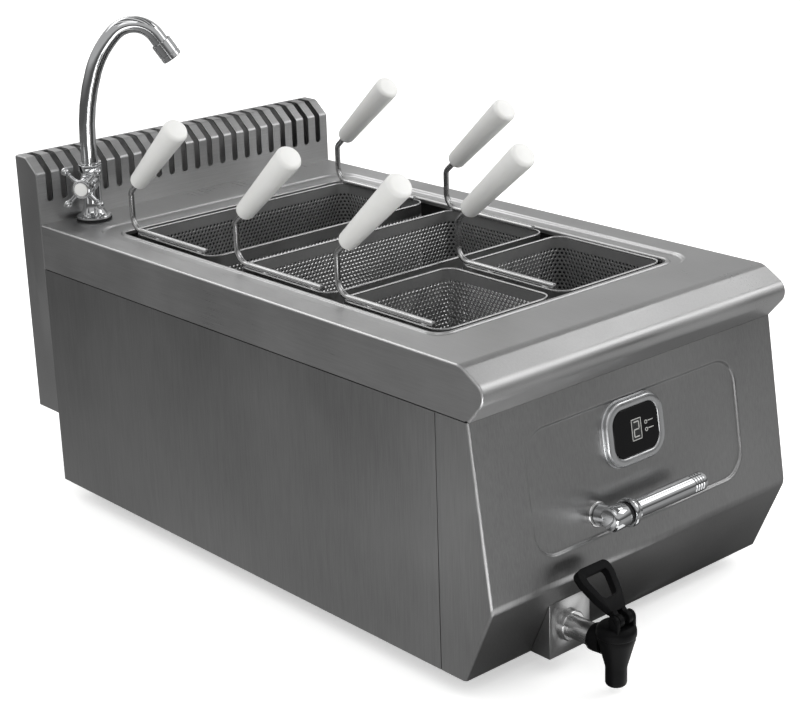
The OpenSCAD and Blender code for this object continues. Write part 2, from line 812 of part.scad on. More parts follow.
module lever_shaft() color(bright) on_panel(lever_x, lever_s)
  rod_y(0, -lever_off + hub_socket, valve_in - ball_d / 2 + ball_socket, 0, shaft_d / 2);

module valve_ball() color(bright) on_panel(lever_x, lever_s) translate([0, valve_in, 0]) difference() {
  rotate([0, 90, 0]) difference() {
    sphere(d = ball_d);
    cylinder(d = way_d, h = 2 * ball_d, center = true);
  }
  rod_y(0, -ball_d, -ball_d / 2 + ball_socket + eps, 0, shaft_d / 2 + seat_fit / 2);
}

// The lever turns round X in its own frame; x starts at the hub's middle
module lever_frame() {
  on_panel(lever_x, lever_s) translate([0, -lever_off, 0]) rotate([0, 90, 0]) children();
}

module lever_hub() color(bright) difference() {
  lever_frame() rotate_extrude() polygon([[0, -hub_len / 2], [lever_hub_d / 2 - 2, -hub_len / 2],
    [lever_hub_d / 2, -hub_len / 2 + 2], [lever_hub_d / 2, hub_len / 2], [0, hub_len / 2]]);
  on_panel(lever_x, lever_s) rod_y(0, -lever_off + hub_socket - eps, over, 0, shaft_d / 2 + seat_fit / 2);
}

module lever_seal_ring() color(black) lever_frame() translate([0, 0, hub_len / 2 + seal_ring_d / 2])
  rotate_extrude() translate([neck_r + seal_ring_d / 2 + seat_fit / 2, 0])
    circle(d = seal_ring_d - 2 * seat_fit);

module lever_bar() color(bright) lever_frame() {
  x1 = hub_len / 2;
  x2 = x1 + seal_ring_d;
  x3 = x2 + collar_t;
  groove = [[0, 0], [-groove_depth, groove_w / 4], [-groove_depth, groove_w * 3 / 4], [0, groove_w]];
  rotate_extrude() polygon(concat([[0, x1], [neck_r, x1], [neck_r, x2], [collar_d / 2 - 1, x2],
    [collar_d / 2, x2 + 1], [collar_d / 2, x3 - 1], [collar_d / 2 - 2, x3], [lever_d / 2 - 1.5, x3],
    [lever_d / 2 - 1.5, x3 + collar_t / 2], [lever_d / 2, x3 + collar_t]],
    [for (i = [0:groove_count - 1], g = groove)
      [lever_d / 2, lever_l - groove_back + groove_pitch * i] + g],
    [[lever_d / 2, lever_l - 2], [lever_d / 2 - 2, lever_l], [0, lever_l]]));
}

module terminal_block() color(white) translate([block_x, y_well - block_back, z_base + sheet]) {
  way = block_w / block_ways;
  cube([block_w, block_d, block_h]);
  for (i = [0:block_ways - 1])
    translate([way * (i + 0.5), block_d / 2, block_h]) cylinder(d = way / 2, h = block_screw);
}

module cable_gland() color(black) {
  rod_y(-fx, y_flue - sheet - gland_in, y_flue, z_tail, gland_r);
  translate([-fx, y_flue, z_tail]) rotate([-90, 0, 0]) difference() {
    union() {
      cylinder(d = gland_hex, h = gland_hex_t, $fn = 6);
      cylinder(r1 = gland_r + 2, r2 = gland_r, h = gland_l);
    }
    translate([0, 0, gland_l - gland_bore_l]) cylinder(r = gland_bore_r, h = gland_bore_l + over);
  }
}

module panel_screws() color(bright) for (s = [-1, 1], i = [0:screw_count - 1])
  translate([s * (x_side - screw_inset - i * screw_pitch), y_flue, z_base + flue_low - screw_below])
    rotate([-90, 0, 0]) cylinder(d1 = screw_d, d2 = screw_d - screw_t, h = screw_t);

module faucet_seal() color(black) translate([fx, fy, z_top]) difference() {
  cylinder(d = flange_d + 1, h = seal_t);
  translate([0, 0, -over]) cylinder(d = shank_d + 2 * seat_fit, h = seal_t + 2 * over);
}

// Places its children along the cross handle's axis, +Z pointing out of the faucet
module on_handle() {
  translate([fx, fy, z_top + handle_h]) rotate([90, 0, -handle_dir]) children();
}

module faucet_body() color(bright) difference() {
  union() {
    translate([fx, fy, z_top - sheet - shank_l]) cylinder(d = shank_d, h = shank_l + sheet + seal_t);
    translate([fx, fy, z_top + seal_t]) rotate_extrude() polygon([[0, 0], [flange_d / 2, 0],
      [flange_d / 2, flange_t - 2], [flange_d / 2 - 4, flange_t], [neck_d / 2 + 3, flange_t + 2],
      [neck_d / 2, flange_t + 8], [neck_d / 2, faucet_h - seal_t], [0, faucet_h - seal_t]]);
    on_handle() cylinder(d = boss_d, h = boss_out);
  }
  translate([fx, fy, z_nut - stub_l - move_gap]) cylinder(r = stub_d / 2 + run_fit, h = stub_l + 2 * over);
  on_handle() translate([0, 0, spindle_in - move_gap]) cylinder(r = spindle_d / 2 + run_fit, h = boss_out);
  translate([fx, fy, z_top - sheet - shank_l - over]) cylinder(d = inlet_d, h = shank_l + faucet_h);
}

module faucet_back_nut() color(copper) translate([fx, fy, z_top - sheet - back_nut_t]) difference() {
  cylinder(d = back_nut_d, h = back_nut_t, $fn = 6);
  translate([0, 0, -over]) cylinder(r = shank_d / 2 + seat_fit / 2, h = back_nut_t + 2 * over, $fn = 64);
}

// Supply line, lengthened at both ends by e
function tail_path(e) = [[fx, fy, z_top - sheet - shank_l + e], [fx, fy, z_tail],
  [fx, y_flue + tail_out + e, z_tail]];

module supply_tail() color(bright) difference() {
  union() {
    elbowed(tail_path(0), tail_d / 2, tail_d / 2 + 1);
    rod_y(fx, y_flue + tail_out - thread_l, y_flue + tail_out, z_tail, thread_d / 2);
  }
  elbowed(tail_path(over), tail_d / 2 - tail_wall, tail_d / 2 - tail_wall + 0.5);
}

module faucet_headwork() color(bright) on_handle() translate([0, 0, boss_out]) difference() {
  union() {
    cylinder(d = headwork_d, h = headwork_flange);
    cylinder(d = headwork_d - 3, h = headwork_out - boss_out);
  }
  translate([0, 0, -over]) cylinder(r = spindle_d / 2 + run_fit, h = headwork_out - boss_out + 2 * over);
}

module spout_nut() color(bright) translate([fx, fy, z_nut]) difference() {
  union() {
    cylinder(d = spout_nut_af / cos(30), h = spout_nut_h - 2, $fn = 6);
    cylinder(d = spout_nut_af - 1, h = spout_nut_h, $fn = 64);
  }
  translate([0, 0, -over]) cylinder(r = spout_d / 2 + move_gap, h = spout_nut_h + 2 * over, $fn = 64);
}

// Swan neck in its own upright plane: three arcs that turn from straight up to steeply down
function turn_point(p, a, r, t) = p + r * [sin(a) - sin(a - t), cos(a - t) - cos(a)];
bend_a = [0, z_bend];
bend_b = turn_point(bend_a, 90, bend_1, turn_1);
bend_c = turn_point(bend_b, 90 - turn_1, bend_2, turn_2);
bend_d = turn_point(bend_c, 90 - turn_1 - turn_2, bend_3, turn_3);
end_dir = 90 - turn_1 - turn_2 - turn_3;
spout_end = bend_d + spout_tail * [cos(end_dir), sin(end_dir)];
spout_bore = stub_d / 2 - spout_wall;

module in_spout_plane() {
  translate([fx, fy, 0]) rotate([0, 0, spout_dir]) children();
}

// One bend that starts at p heading along angle a and turns down by t degrees
module neck_bend(p, a, r, t, tube_r) {
  c = p + r * [sin(a), -cos(a)];
  translate([c[0], 0, c[1]]) rotate([90, 0, 0]) rotate([0, 0, 90 + a - t]) rotate_extrude(angle = t)
    translate([r, 0]) circle(tube_r);
}

// A short disc joins one bend to the next
module neck_joint(p, a, r) {
  translate([p[0], 0, p[1]]) rotate([0, 90 - a, 0])
    cylinder(r = r + joint_step, h = 2 * joint_lap, center = true);
}

module neck_run(tube_r) {
  neck_bend(bend_a, 90, bend_1, turn_1, tube_r);
  neck_joint(bend_b, 90 - turn_1, tube_r);
  neck_bend(bend_b, 90 - turn_1, bend_2, turn_2, tube_r);
  neck_joint(bend_c, 90 - turn_1 - turn_2, tube_r);
  neck_bend(bend_c, 90 - turn_1 - turn_2, bend_3, turn_3, tube_r);
}

// Straight length along the spout's end, starting back from p
module neck_end(p, back, len, r) {
  q = p - back * [cos(end_dir), sin(end_dir)];
  translate([q[0], 0, q[1]]) rotate([0, 90 - end_dir, 0]) cylinder(r = r, h = len + back);
}

module faucet_spout() color(bright) in_spout_plane() difference() {
  union() {
    translate([0, 0, z_nut + 1]) cylinder(r = spout_d / 2 + joint_step, h = z_bend + joint_lap - z_nut - 1);
    translate([0, 0, z_nut - stub_l]) cylinder(d = stub_d, h = stub_l + 2);
    neck_run(spout_d / 2);
    neck_end(bend_d, joint_lap, spout_tail, spout_d / 2 + joint_step);
  }
  translate([0, 0, z_nut - stub_l - over])
    cylinder(r = spout_bore + joint_step, h = z_bend + joint_lap - z_nut + stub_l + over);
  neck_run(spout_bore);
  neck_end(bend_d, joint_lap, spout_tail + over, spout_bore + joint_step);
}

module aerator() color(bright) in_spout_plane() difference() {
  neck_end(spout_end, 0, aerator_l, aerator_d / 2);
  neck_end(spout_end, over, aerator_l + over, spout_bore + 2);
}

module faucet_handle() color(bright) on_handle() {
  translate([0, 0, spindle_in]) cylinder(d = spindle_d, h = headwork_out - spindle_in + 2);
  translate([0, 0, headwork_out + move_gap])
    cylinder(d = hub_d, h = handle_out - cap_t - headwork_out - move_gap);
  z_arm = (headwork_out + handle_out - cap_t) / 2;
  for (i = [0:3]) rotate([0, 0, 45 + 90 * i]) {
    translate([hub_d / 2 - 2, 0, z_arm]) rotate([0, 90, 0])
      cylinder(d1 = arm_d, d2 = arm_d - 1, h = arm_l - hub_d / 2 + 2);
    translate([arm_l, 0, z_arm]) rotate([0, 90, 0]) sphere(d = arm_ball);
  }
}

module handle_cap() color(bright) on_handle() translate([0, 0, handle_out - cap_t]) rotate_extrude()
  polygon([[0, 0], [hub_d / 2 + 2, 0], [hub_d / 2 + 2, cap_t - 1], [hub_d / 2 + 1, cap_t], [0, cap_t]]);

module tap_body() color(black) difference() {
  union() {
    translate([outlet_x, y_tap, z_nozzle]) rotate_extrude() polygon([[0, 0], [nozzle_d / 2 - 2, 0],
      [nozzle_d / 2, 2], [nozzle_d / 2, nozzle_l], [bonnet_r - 1, z_collar - z_nozzle - 4],
      [bonnet_r - 1, z_collar - z_nozzle], [0, z_collar - z_nozzle]]);
    rod_y(outlet_x, y_tap, y_pipe_end, z_out, shank_r);
    rod_y(outlet_x, y_tap + bonnet_r + 1, y_pipe_end + socket_l, z_out, pipe_d / 2 + socket_wall);
  }
  translate([outlet_x, y_tap, z_nozzle - over])
    cylinder(d = nozzle_d - 2 * nozzle_wall, h = z_collar - z_nozzle);
  translate([outlet_x, y_tap, z_seat]) cylinder(r = chamber_r, h = z_collar - z_seat + over);
  rod_y(outlet_x, y_tap + 8, y_pipe_end + over, z_out, way_d / 2 - 2);
  rod_y(outlet_x, y_pipe_end - seat_fit, y_pipe_end + socket_l + over, z_out,
    pipe_d / 2 + joint_step + seat_fit / 2);
}

module tap_bonnet() color(black) translate([outlet_x, y_tap, 0]) difference() {
  union() {
    translate([0, 0, z_collar]) rotate_extrude() polygon([[0, 0], [bonnet_r - 1.5, 0], [bonnet_r, 1.5],
      [bonnet_r, bonnet_h - 4], [bonnet_r - 4, bonnet_h], [0, bonnet_h]]);
    for (s = [-1, 1]) translate([s * (ear_x + ear_t / 2) - ear_t / 2, y_pin - y_tap, 0]) {
      translate([0, 0, z_pin]) rotate([0, 90, 0]) cylinder(r = ear_r, h = ear_t);
      translate([0, -ear_r, z_bonnet - over]) cube([ear_t, 2 * ear_r, z_pin - z_bonnet + over]);
    }
  }
  translate([0, 0, z_collar - over]) cylinder(r = stem_d / 2 + run_fit, h = bonnet_h + 2 * over);
  translate([0, 0, z_collar - over]) cylinder(r = chamber_r, h = bonnet_hollow + over);
  translate([-bonnet_r, y_pin - y_tap, z_pin]) rotate([0, 90, 0])
    cylinder(r = pin_d / 2 + run_fit / 2, h = 2 * bonnet_r);
}

module tap_pin() color(bright) translate([outlet_x, y_pin, z_pin]) rotate([0, 90, 0])
  cylinder(d = pin_d, h = 2 * (ear_x + ear_t + pin_proud), center = true);

// Loop lever: cheeks round the pin, then a loop that leans back; +Z runs along the loop
module loop_frame() {
  translate([outlet_x, y_pin, z_pin]) rotate([-loop_lean, 0, 0]) children();
}

module tap_lever() color(black) loop_frame() difference() {
  half = loop_w / 2;
  root = 8;
  in_w = half - loop_t * 0.85;
  tip = loop_l + loop_t / 2;
  cheek_w = ear_x - move_gap - cheek_x;
  union() {
    rotate([90, 0, 0]) linear_extrude(loop_t, center = true) difference() {
      polygon(rounded([[-ear_x, root], [ear_x, root], [0.74 * half, 0.42 * tip], [half, 0.76 * tip],
        [half, tip], [-half, tip], [-half, 0.76 * tip], [-0.74 * half, 0.42 * tip]],
        [3, 3, 16, 14, 7, 7, 14, 16]));
      polygon(rounded([[-0.64 * in_w, 0.4 * tip], [0.64 * in_w, 0.4 * tip], [in_w, 0.75 * tip],
        [in_w, tip - loop_t], [-in_w, tip - loop_t], [-in_w, 0.75 * tip]], [5, 5, 8, 2.5, 2.5, 8]));
    }
    for (s = [-1, 1]) translate([s * (cheek_x + cheek_w / 2), 0, 0]) {
      rotate([0, 90, 0]) cylinder(r = ear_r, h = cheek_w, center = true);
      translate([-cheek_w / 2, -loop_t / 2 + 0.5, 0]) cube([cheek_w, loop_t - 1, root + 2]);
    }
  }
  rotate([0, 90, 0]) cylinder(r = pin_d / 2 + run_fit, h = loop_w, center = true);
}

module tap_stem() color(bright) translate([outlet_x, y_tap, z_seat + cup_t / 2])
  cylinder(d = stem_d, h = z_pin - 1 - z_seat - cup_t / 2);

module tap_seat() color([0.75, 0.3, 0.22]) translate([outlet_x, y_tap, z_seat + rest_gap]) difference() {
  cylinder(r1 = chamber_r - 3, r2 = chamber_r - 2, h = cup_t);
  translate([0, 0, cup_t / 2 - rest_gap - eps]) cylinder(r = stem_d / 2 + seat_fit / 2, h = cup_t);
}

module basket(w) {
  difference() {
    linear_extrude(basket_depth) round_rect(w, basket_l, basket_r);
    translate([0, 0, basket_t]) linear_extrude(basket_depth)
      round_rect(w - 2 * basket_t, basket_l - 2 * basket_t, basket_r - basket_t);
    nx = floor((w - 2 * drain_margin) / drain_pitch);
    ny = floor((basket_l - 2 * drain_margin) / drain_pitch);
    translate([0, 0, -over]) linear_extrude(basket_t + 2 * over) for (i = [0:nx], j = [0:ny])
      translate([(i - nx / 2) * drain_pitch, (j - ny / 2) * drain_pitch]) circle(d = drain_hole_d);
  }
}

module basket_rear() color(steel) translate([0, y_rear_row, z_basket]) basket(wide_w);
module basket_middle() color(steel) translate([0, y_middle_row, z_basket]) basket(wide_w);
module basket_front_left() color(steel) translate([-small_x, y_front_row, z_basket]) basket(small_w);
module basket_front_right() color(steel) translate([small_x, y_front_row, z_basket]) basket(small_w);

// Handle rod in the plane x = 0 of a basket whose middle is at y = 0
rod_up = basket_l / 2 + rod_back;
knee_mid = [rod_up - rod_knee, rod_top];
knee_end = knee_mid + rod_knee * [cos(knee_turn), sin(knee_turn)];
grip_dir = [-cos(grip_angle), sin(grip_angle)];
grip_base = knee_end + grip_start * grip_dir;

module handle_rod(x, y, side) translate([x, y, 0]) {
  r = rod_d / 2;
  lap = joint_lap;
  rod_y(0, -basket_l / 2 + rod_end, rod_up - rod_bend + lap, rod_z, r + joint_step);
  translate([0, rod_up - rod_bend, rod_z + rod_bend]) rotate([90, 0, 90]) rotate([0, 0, -90])
    rotate_extrude(angle = 90) translate([rod_bend, 0]) circle(r);
  translate([0, rod_up, rod_z + rod_bend - lap])
    cylinder(r = r + joint_step, h = rod_top - rod_z - rod_bend + 2 * lap);
  translate([0, knee_mid[0], knee_mid[1]]) rotate([90, 0, 90]) rotate_extrude(angle = knee_turn)
    translate([rod_knee, 0]) circle(r);
  translate([0, knee_end[0], knee_end[1]]) rotate([90 - grip_angle, 0, 0]) translate([0, 0, -lap])
    cylinder(r = r + joint_step, h = grip_start + grip_socket - 1 + lap);
  bead_x = side * (rod_in - basket_t - bead_r - eps);
  for (t = [-1, 0, 1]) translate([bead_x, t * basket_l / 4, z_rim - bead_r / 2])
    rotate([90, 0, 0]) cylinder(r = bead_r, h = bead_l, center = true);
}

module handle_grip(x, y) translate([x, y + grip_base[0], grip_base[1]]) rotate([90 - grip_angle, 0, 0]) {
  r1 = grip_d1 / 2;
  r2 = grip_d2 / 2;
  e = grip_round;
  difference() {
    rotate_extrude() polygon(concat([[0, 0]],
      [for (a = [-90:15:0]) [r1 - e + e * cos(a), e + e * sin(a)]],
      [for (a = [0:15:90]) [r2 - 2 * e + 2 * e * cos(a), grip_l - e + e * sin(a)]],
      [[0, grip_l]]));
    translate([0, 0, -over]) cylinder(r = rod_d / 2 + joint_step + seat_fit / 2, h = grip_socket + over);
  }
}

wide_rod_x = wide_w / 2 - rod_in;
small_rod_x = small_w / 2 - rod_in;
module rods_rear() color(bright) for (s = [-1, 1]) handle_rod(s * wide_rod_x, y_rear_row, s);
module rods_middle() color(bright) for (s = [-1, 1]) handle_rod(s * wide_rod_x, y_middle_row, s);
module rod_front_left() color(bright) handle_rod(-small_x - small_rod_x, y_front_row, -1);
module rod_front_right() color(bright) handle_rod(small_x - small_rod_x, y_front_row, -1);
module grips_rear() color(white) for (s = [-1, 1]) handle_grip(s * wide_rod_x, y_rear_row);
module grips_middle() color(white) for (s = [-1, 1]) handle_grip(s * wide_rod_x, y_middle_row);
module grip_front_left() color(white) handle_grip(-small_x - small_rod_x, y_front_row);
module grip_front_right() color(white) handle_grip(small_x - small_rod_x, y_front_row);

base_plate();
feet();
foot_pads();
left_side_panel();
right_side_panel();
rear_panel();
control_panel();
worktop();
well_tank();
flue_housing();
outlet_box();
false_bottom();
heating_elements();
element_nuts();
probes();
drain_spigot();
valve_body();
drain_pipe();
outlet_locknut();
controller_bezel();
controller_glass();
controller_housing();
lever_bush();
terminal_block();
cable_gland();
panel_screws();
faucet_seal();
faucet_body();
faucet_back_nut();
supply_tail();
faucet_headwork();
spout_nut();
tap_body();
tap_bonnet();
tap_pin();
faucet_spout();
aerator();
faucet_handle();
handle_cap();
lever_shaft();
valve_ball();
lever_hub();
lever_seal_ring();
lever_bar();
tap_lever();
tap_stem();
tap_seat();
basket_rear();
basket_middle();
basket_front_left();
basket_front_right();
rods_rear();
rods_middle();
rod_front_left();
rod_front_right();
grips_rear();
grips_middle();
grip_front_left();
grip_front_right();
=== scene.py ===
"""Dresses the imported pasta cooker: steel casing, perforated baskets, chrome faucet, controls and tap.

Everything is modelled in metres in the part's own frame: X runs to the right as seen from the front,
-Y to the front and Z up.
"""

from math import acos, atan2, cos, pi, radians, sin, sqrt, tan, tau

import bmesh
import bpy
from bpy.props import FloatProperty, FloatVectorProperty, IntProperty, PointerProperty
from mathutils import Matrix, Vector


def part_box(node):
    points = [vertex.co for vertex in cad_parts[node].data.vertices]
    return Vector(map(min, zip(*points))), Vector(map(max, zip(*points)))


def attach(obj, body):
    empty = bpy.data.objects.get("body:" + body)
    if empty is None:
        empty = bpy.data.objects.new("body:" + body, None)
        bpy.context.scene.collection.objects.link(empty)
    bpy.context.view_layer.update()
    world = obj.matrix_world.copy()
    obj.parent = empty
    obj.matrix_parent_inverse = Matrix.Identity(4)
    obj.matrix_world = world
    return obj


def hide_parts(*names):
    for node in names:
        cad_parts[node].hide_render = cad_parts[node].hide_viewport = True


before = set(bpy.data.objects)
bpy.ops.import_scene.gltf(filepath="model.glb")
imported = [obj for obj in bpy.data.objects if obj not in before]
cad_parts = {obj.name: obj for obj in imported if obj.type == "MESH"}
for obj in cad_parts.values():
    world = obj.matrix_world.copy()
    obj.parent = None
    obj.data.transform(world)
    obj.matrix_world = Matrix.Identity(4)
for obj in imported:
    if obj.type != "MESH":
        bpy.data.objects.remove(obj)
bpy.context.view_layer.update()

bl_info = {
    "name": "Pasta cooker",
    "version": (1, 0, 0),
    "blender": (4, 5, 0),
    "location": "View3D > Sidebar > Cooker",
    "description": "Builds the visible pieces of a counter-top pasta cooker round its packed frame",
    "category": "Add Mesh",
}

MM = 0.001
# Points closer than this, in metres, are in the same place
NEAR = 1e-6
# An edge that turns by more than this, in radians, is a fold
SHARP = 1
# A face whose normal has this share of its length along a direction faces that way
FACING = 0.999
# Most values of a noise pattern lie between these
NOISE_LOW, NOISE_HIGH = 0.3, 0.7

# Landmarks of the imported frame
X_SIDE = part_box("worktop")[1].x
Y_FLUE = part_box("worktop")[1].y
Z_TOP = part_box("worktop")[1].z
Z_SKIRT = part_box("worktop")[0].z
Y_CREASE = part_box("control_panel")[0].y
Y_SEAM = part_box("control_panel")[1].y
Z_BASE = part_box("base_plate")[0].z
Y_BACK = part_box("flue_housing")[1].y
Z_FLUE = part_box("flue_housing")[1].z
Z_FLUE_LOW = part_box("flue_housing")[0].z
WELL_LOW, WELL_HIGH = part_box("well_tank")

# Thickness of the casing's and the baskets' sheet, and the gap where two sheets meet
SHEET = 1.5 * MM
BASKET_SHEET = 1.2 * MM
SEAM = 1 * MM

# The control panel's crease, from which both faces lean back, and its upper edge
Z_CREASE = Z_BASE + 78 * MM
UPPER_LEAN = radians(8.8)
LOWER_LEAN = radians(24)
Z_PANEL = Z_SKIRT - SEAM
Y_PANEL = Y_CREASE + (Z_PANEL - Z_CREASE) * tan(UPPER_LEAN)

# The size of the well's inside, and the middle of the well
WELL_SIZE = (WELL_HIGH - WELL_LOW) - Vector((2 * SHEET, 2 * SHEET, SHEET))
WELL_MID = (WELL_HIGH + WELL_LOW) / 2


def mm(*values):
    """A point given in millimetres."""
    return Vector(values) * MM


def linear(hex_colour):
    """Linear RGBA of an sRGB hex colour."""
    parts = [int(hex_colour[i:i + 2], 16) / 255 for i in (1, 3, 5)]
    return [p / 12.92 if p <= 0.04045 else ((p + 0.055) / 1.055) ** 2.4 for p in parts] + [1]


def colour(name, hex_colour, description):
    """A colour setting whose default is an sRGB hex colour."""
    return FloatVectorProperty(name=name, description=description, default=linear(hex_colour),
                               subtype="COLOR", size=4, min=0, max=1)


def length(name, default, description):
    """A length setting in millimetres, kept in metres."""
    return FloatProperty(name=name, description=description, default=default * MM,
                         min=0, unit="LENGTH", precision=4)


class CookerSizes(bpy.types.PropertyGroup):
    """Sizes of the dressed pieces."""

    fold: length("Fold radius", 1.6, "Outside radius of a fold in the casing's sheet")
    panel_fold: length("Panel fold radius", 3, "Outside radius of the folds beside the control panel")
    crease: length("Crease radius", 5, "Radius of the control panel's crease")
    ledge_width: length("Ledge width", 18, "Width of the pressed ledge round the well")
    ledge_depth: length("Ledge depth", 3, "Depth of the pressed ledge round the well")
    bead: length("Bead height", 1.6, "Height of the raised bead round the well's opening")
    well_corner: length("Well corner", 24, "Corner radius of the well")
    field_width: length("Field width", 284, "Width of the pressed field on the control panel")
    field_height: length("Field height", 120, "Height of the pressed field on the control panel")
    field_low: length("Field height above crease", 24, "Lower edge of the field, measured up the panel")
    field_corner: length("Field corner", 28, "Corner radius of the pressed field")
    field_depth: length("Field depth", 2.5, "Depth of the pressed field")
    slot_width: length("Slot width", 7.3, "Width of a flue slot")
    slot_pitch: length("Slot pitch", 17.6, "Spacing of the flue slots")
    slot_count: IntProperty(name="Slots", description="Number of flue slots", default=22, min=1)
    hole_pitch: length("Hole pitch", 4.7, "Spacing of the holes in the perforated sheet")
    hole: length("Hole", 3.1, "Width of a hole in the perforated sheet")
    band: length("Plain band", 11, "Plain band below a basket's rim")
    rod: length("Rod diameter", 6, "Diameter of a basket's handle rod")
    grip_low: length("Grip lower diameter", 19.5, "Diameter of a grip where the rod goes in")
    grip_high: length("Grip upper diameter", 26, "Diameter of a grip at its far end")
    grip_length: length("Grip length", 106, "Length of a grip")


class CookerFinish(bpy.types.PropertyGroup):
    """Colours of the finishes."""

    # Casing and worktop are one steel in a shaded and a lit copy: painted shade and painted light
    casing: colour("Casing", "#a4a4a4", "Brushed stainless steel of the casing")
    worktop: colour("Worktop", "#bcbcbc", "Brushed stainless steel of the worktop")
    # The well's colour is painted far darker than steel: painted shade inside the well
    well: colour("Well", "#4a4a4a", "Satin stainless steel of the well")
    basket: colour("Baskets", "#c6c6c6", "Satin perforated stainless steel of the baskets")
    bright: colour("Rods", "#c0c0c0", "Drawn stainless steel of rods and pipes")
    chrome: colour("Chrome", "#cdcecf", "Chromium plating on the brass fittings")
    grips: colour("Grips", "#e2e2e0", "Polypropylene of the grips")
    nylon: colour("Tap", "#0b0b0c", "Black nylon of the tap")
    glass: colour("Glass", "#050506", "Black acrylic window of the controller")
    ink: colour("Ink", "#a9a9a6", "Ink printed on the controller's window")
    floor: colour("Floor", "#f4f4f3", "Studio floor")


def deselect():
    """Leaves edit mode and deselects every object."""
    if bpy.context.object and bpy.context.object.mode != "OBJECT":
        bpy.ops.object.mode_set(mode="OBJECT")
    bpy.ops.object.select_all(action="DESELECT")


def edit(piece):
    """Makes a piece the only selected object and opens it in edit mode."""
    deselect()
    piece.select_set(True)
    bpy.context.view_layer.objects.active = piece
    bpy.ops.object.mode_set(mode="EDIT")


def pick(kind, test):
    """Selects the VERT, EDGE or FACE elements that pass a test, in the mesh being edited."""
    bpy.ops.mesh.select_mode(type=kind)
    bpy.ops.mesh.select_all(action="DESELECT")
    mesh = bpy.context.object.data
    shape = bmesh.from_edit_mesh(mesh)
    shape.normal_update()
    for item in {"VERT": shape.verts, "EDGE": shape.edges, "FACE": shape.faces}[kind]:
        item.select_set(test(item))
    bmesh.update_edit_mesh(mesh)


def middle(item):
    """Middle of an edge or a face."""
    return sum((v.co for v in item.verts), Vector()) / len(item.verts)


def tidy_normals():
    """Merges doubled points and turns all faces of the mesh being edited outwards."""
    bpy.ops.mesh.select_all(action="SELECT")
    bpy.ops.mesh.remove_doubles(threshold=NEAR)
    bpy.ops.mesh.normals_make_consistent(inside=False)


def apply(piece, kind, **settings):
    """Adds a modifier with its settings and applies it."""
    deselect()
    piece.select_set(True)
    bpy.context.view_layer.objects.active = piece
    modifier = piece.modifiers.new(kind.title(), kind)
    for key, value in settings.items():
        setattr(modifier, key, value)
    bpy.ops.object.modifier_apply(modifier=modifier.name)


def round_edges(piece, width, angle=30, segments=2):
    """Rounds the edges of a piece that are sharper than an angle."""
    apply(piece, "BEVEL", width=width, segments=segments, limit_method="ANGLE",
          angle_limit=radians(angle), use_clamp_overlap=True, harden_normals=False)


def place(piece, matrix):
    """Moves a piece made at the origin to its place, and puts that place into its mesh."""
    deselect()
    piece.select_set(True)
    bpy.context.view_layer.objects.active = piece
    piece.matrix_world = matrix
    bpy.ops.object.transform_apply(location=True, rotation=True, scale=True)


def join(first, *others):
    """Joins pieces into the first one."""
    deselect()
    for piece in (first, *others):
        piece.select_set(True)
    bpy.context.view_layer.objects.active = first
    bpy.ops.object.join()
    return first


def settle(piece, name, body, slot, finish, *nodes, smooth=35, flat=False):
    """Names a finished piece, gives it its finish, and sets it on its body in place of its CAD nodes.

    A flat piece, such as a folded sheet, keeps its large faces evenly shaded up to their folds.
    """
    deselect()
    piece.select_set(True)
    bpy.context.view_layer.objects.active = piece
    bpy.ops.object.shade_smooth_by_angle(angle=radians(smooth))
    if flat:
        apply(piece, "WEIGHTED_NORMAL", keep_sharp=True, weight=100)
    piece.name = piece.data.name = name
    if finish not in piece.data.materials:
        piece.data.materials.clear()
        piece.data.materials.append(bpy.data.materials[finish])
    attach(piece, body)
    if nodes:
        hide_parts(*nodes)
    return piece


def draw(points):
    """Draws an open outline by extruding a point from place to place, and stays in edit mode."""
    points = [Vector(p) for p in points]
    deselect()
    bpy.ops.mesh.primitive_plane_add(size=2 * MM)
    bpy.ops.object.mode_set(mode="EDIT")
    bpy.ops.mesh.select_mode(type="VERT")
    bpy.ops.mesh.merge(type="CENTER")
    bpy.ops.transform.translate(value=points[0])
    for here, there in zip(points, points[1:]):
        bpy.ops.mesh.extrude_vertices_move(TRANSFORM_OT_translate={"value": there - here})
    return bpy.context.object


def prism(points, along):
    """A closed outline drawn out along a vector."""
    piece = draw(points)
    bpy.ops.mesh.select_all(action="SELECT")
    bpy.ops.mesh.edge_face_add()
    bpy.ops.mesh.extrude_region_move(TRANSFORM_OT_translate={"value": along})
    tidy_normals()
    deselect()
    return piece


def lathe(profile, steps=48):
    """Spins a profile of (radius, height) pairs round Z.

    The piece is closed if the profile starts and ends on the axis, or ends where it starts.
    """
    piece = draw([(r, 0, z) for r, z in profile])
    bpy.ops.mesh.select_all(action="SELECT")
    bpy.ops.mesh.spin(steps=steps, angle=tau, center=(0, 0, 0), axis=(0, 0, 1))
    tidy_normals()
    deselect()
    return piece


def tube(points, radius, sides=16):
    """A round bar or tube along a path, with closed ends."""
    piece = draw(points)
    deselect()
    piece.select_set(True)
    bpy.ops.object.convert(target="CURVE")
    path = bpy.context.object.data
    path.dimensions = "3D"
    path.twist_mode = "MINIMUM"
    path.bevel_depth = radius
    path.bevel_resolution = sides // 4 - 1
    path.use_fill_caps = True
    bpy.ops.object.convert(target="MESH")
    piece = bpy.context.object
    edit(piece)
    tidy_normals()
    deselect()
    return piece


def turned(matrix, *profile, steps=48):
    """A piece turned from (radius, height) pairs in millimetres, stood in a frame."""
    piece = lathe([(r * MM, z * MM) for r, z in profile], steps)
    place(piece, matrix)
    return piece


def repeated(piece, matrices):
    """Copies a piece once for each matrix, joins the copies and removes the first."""
    copies = []
    for matrix in matrices:
        deselect()
        piece.select_set(True)
        bpy.context.view_layer.objects.active = piece
        bpy.ops.object.duplicate()
        copies.append(bpy.context.object)
        place(copies[-1], matrix)
    bpy.data.objects.remove(piece)
    return join(*copies)


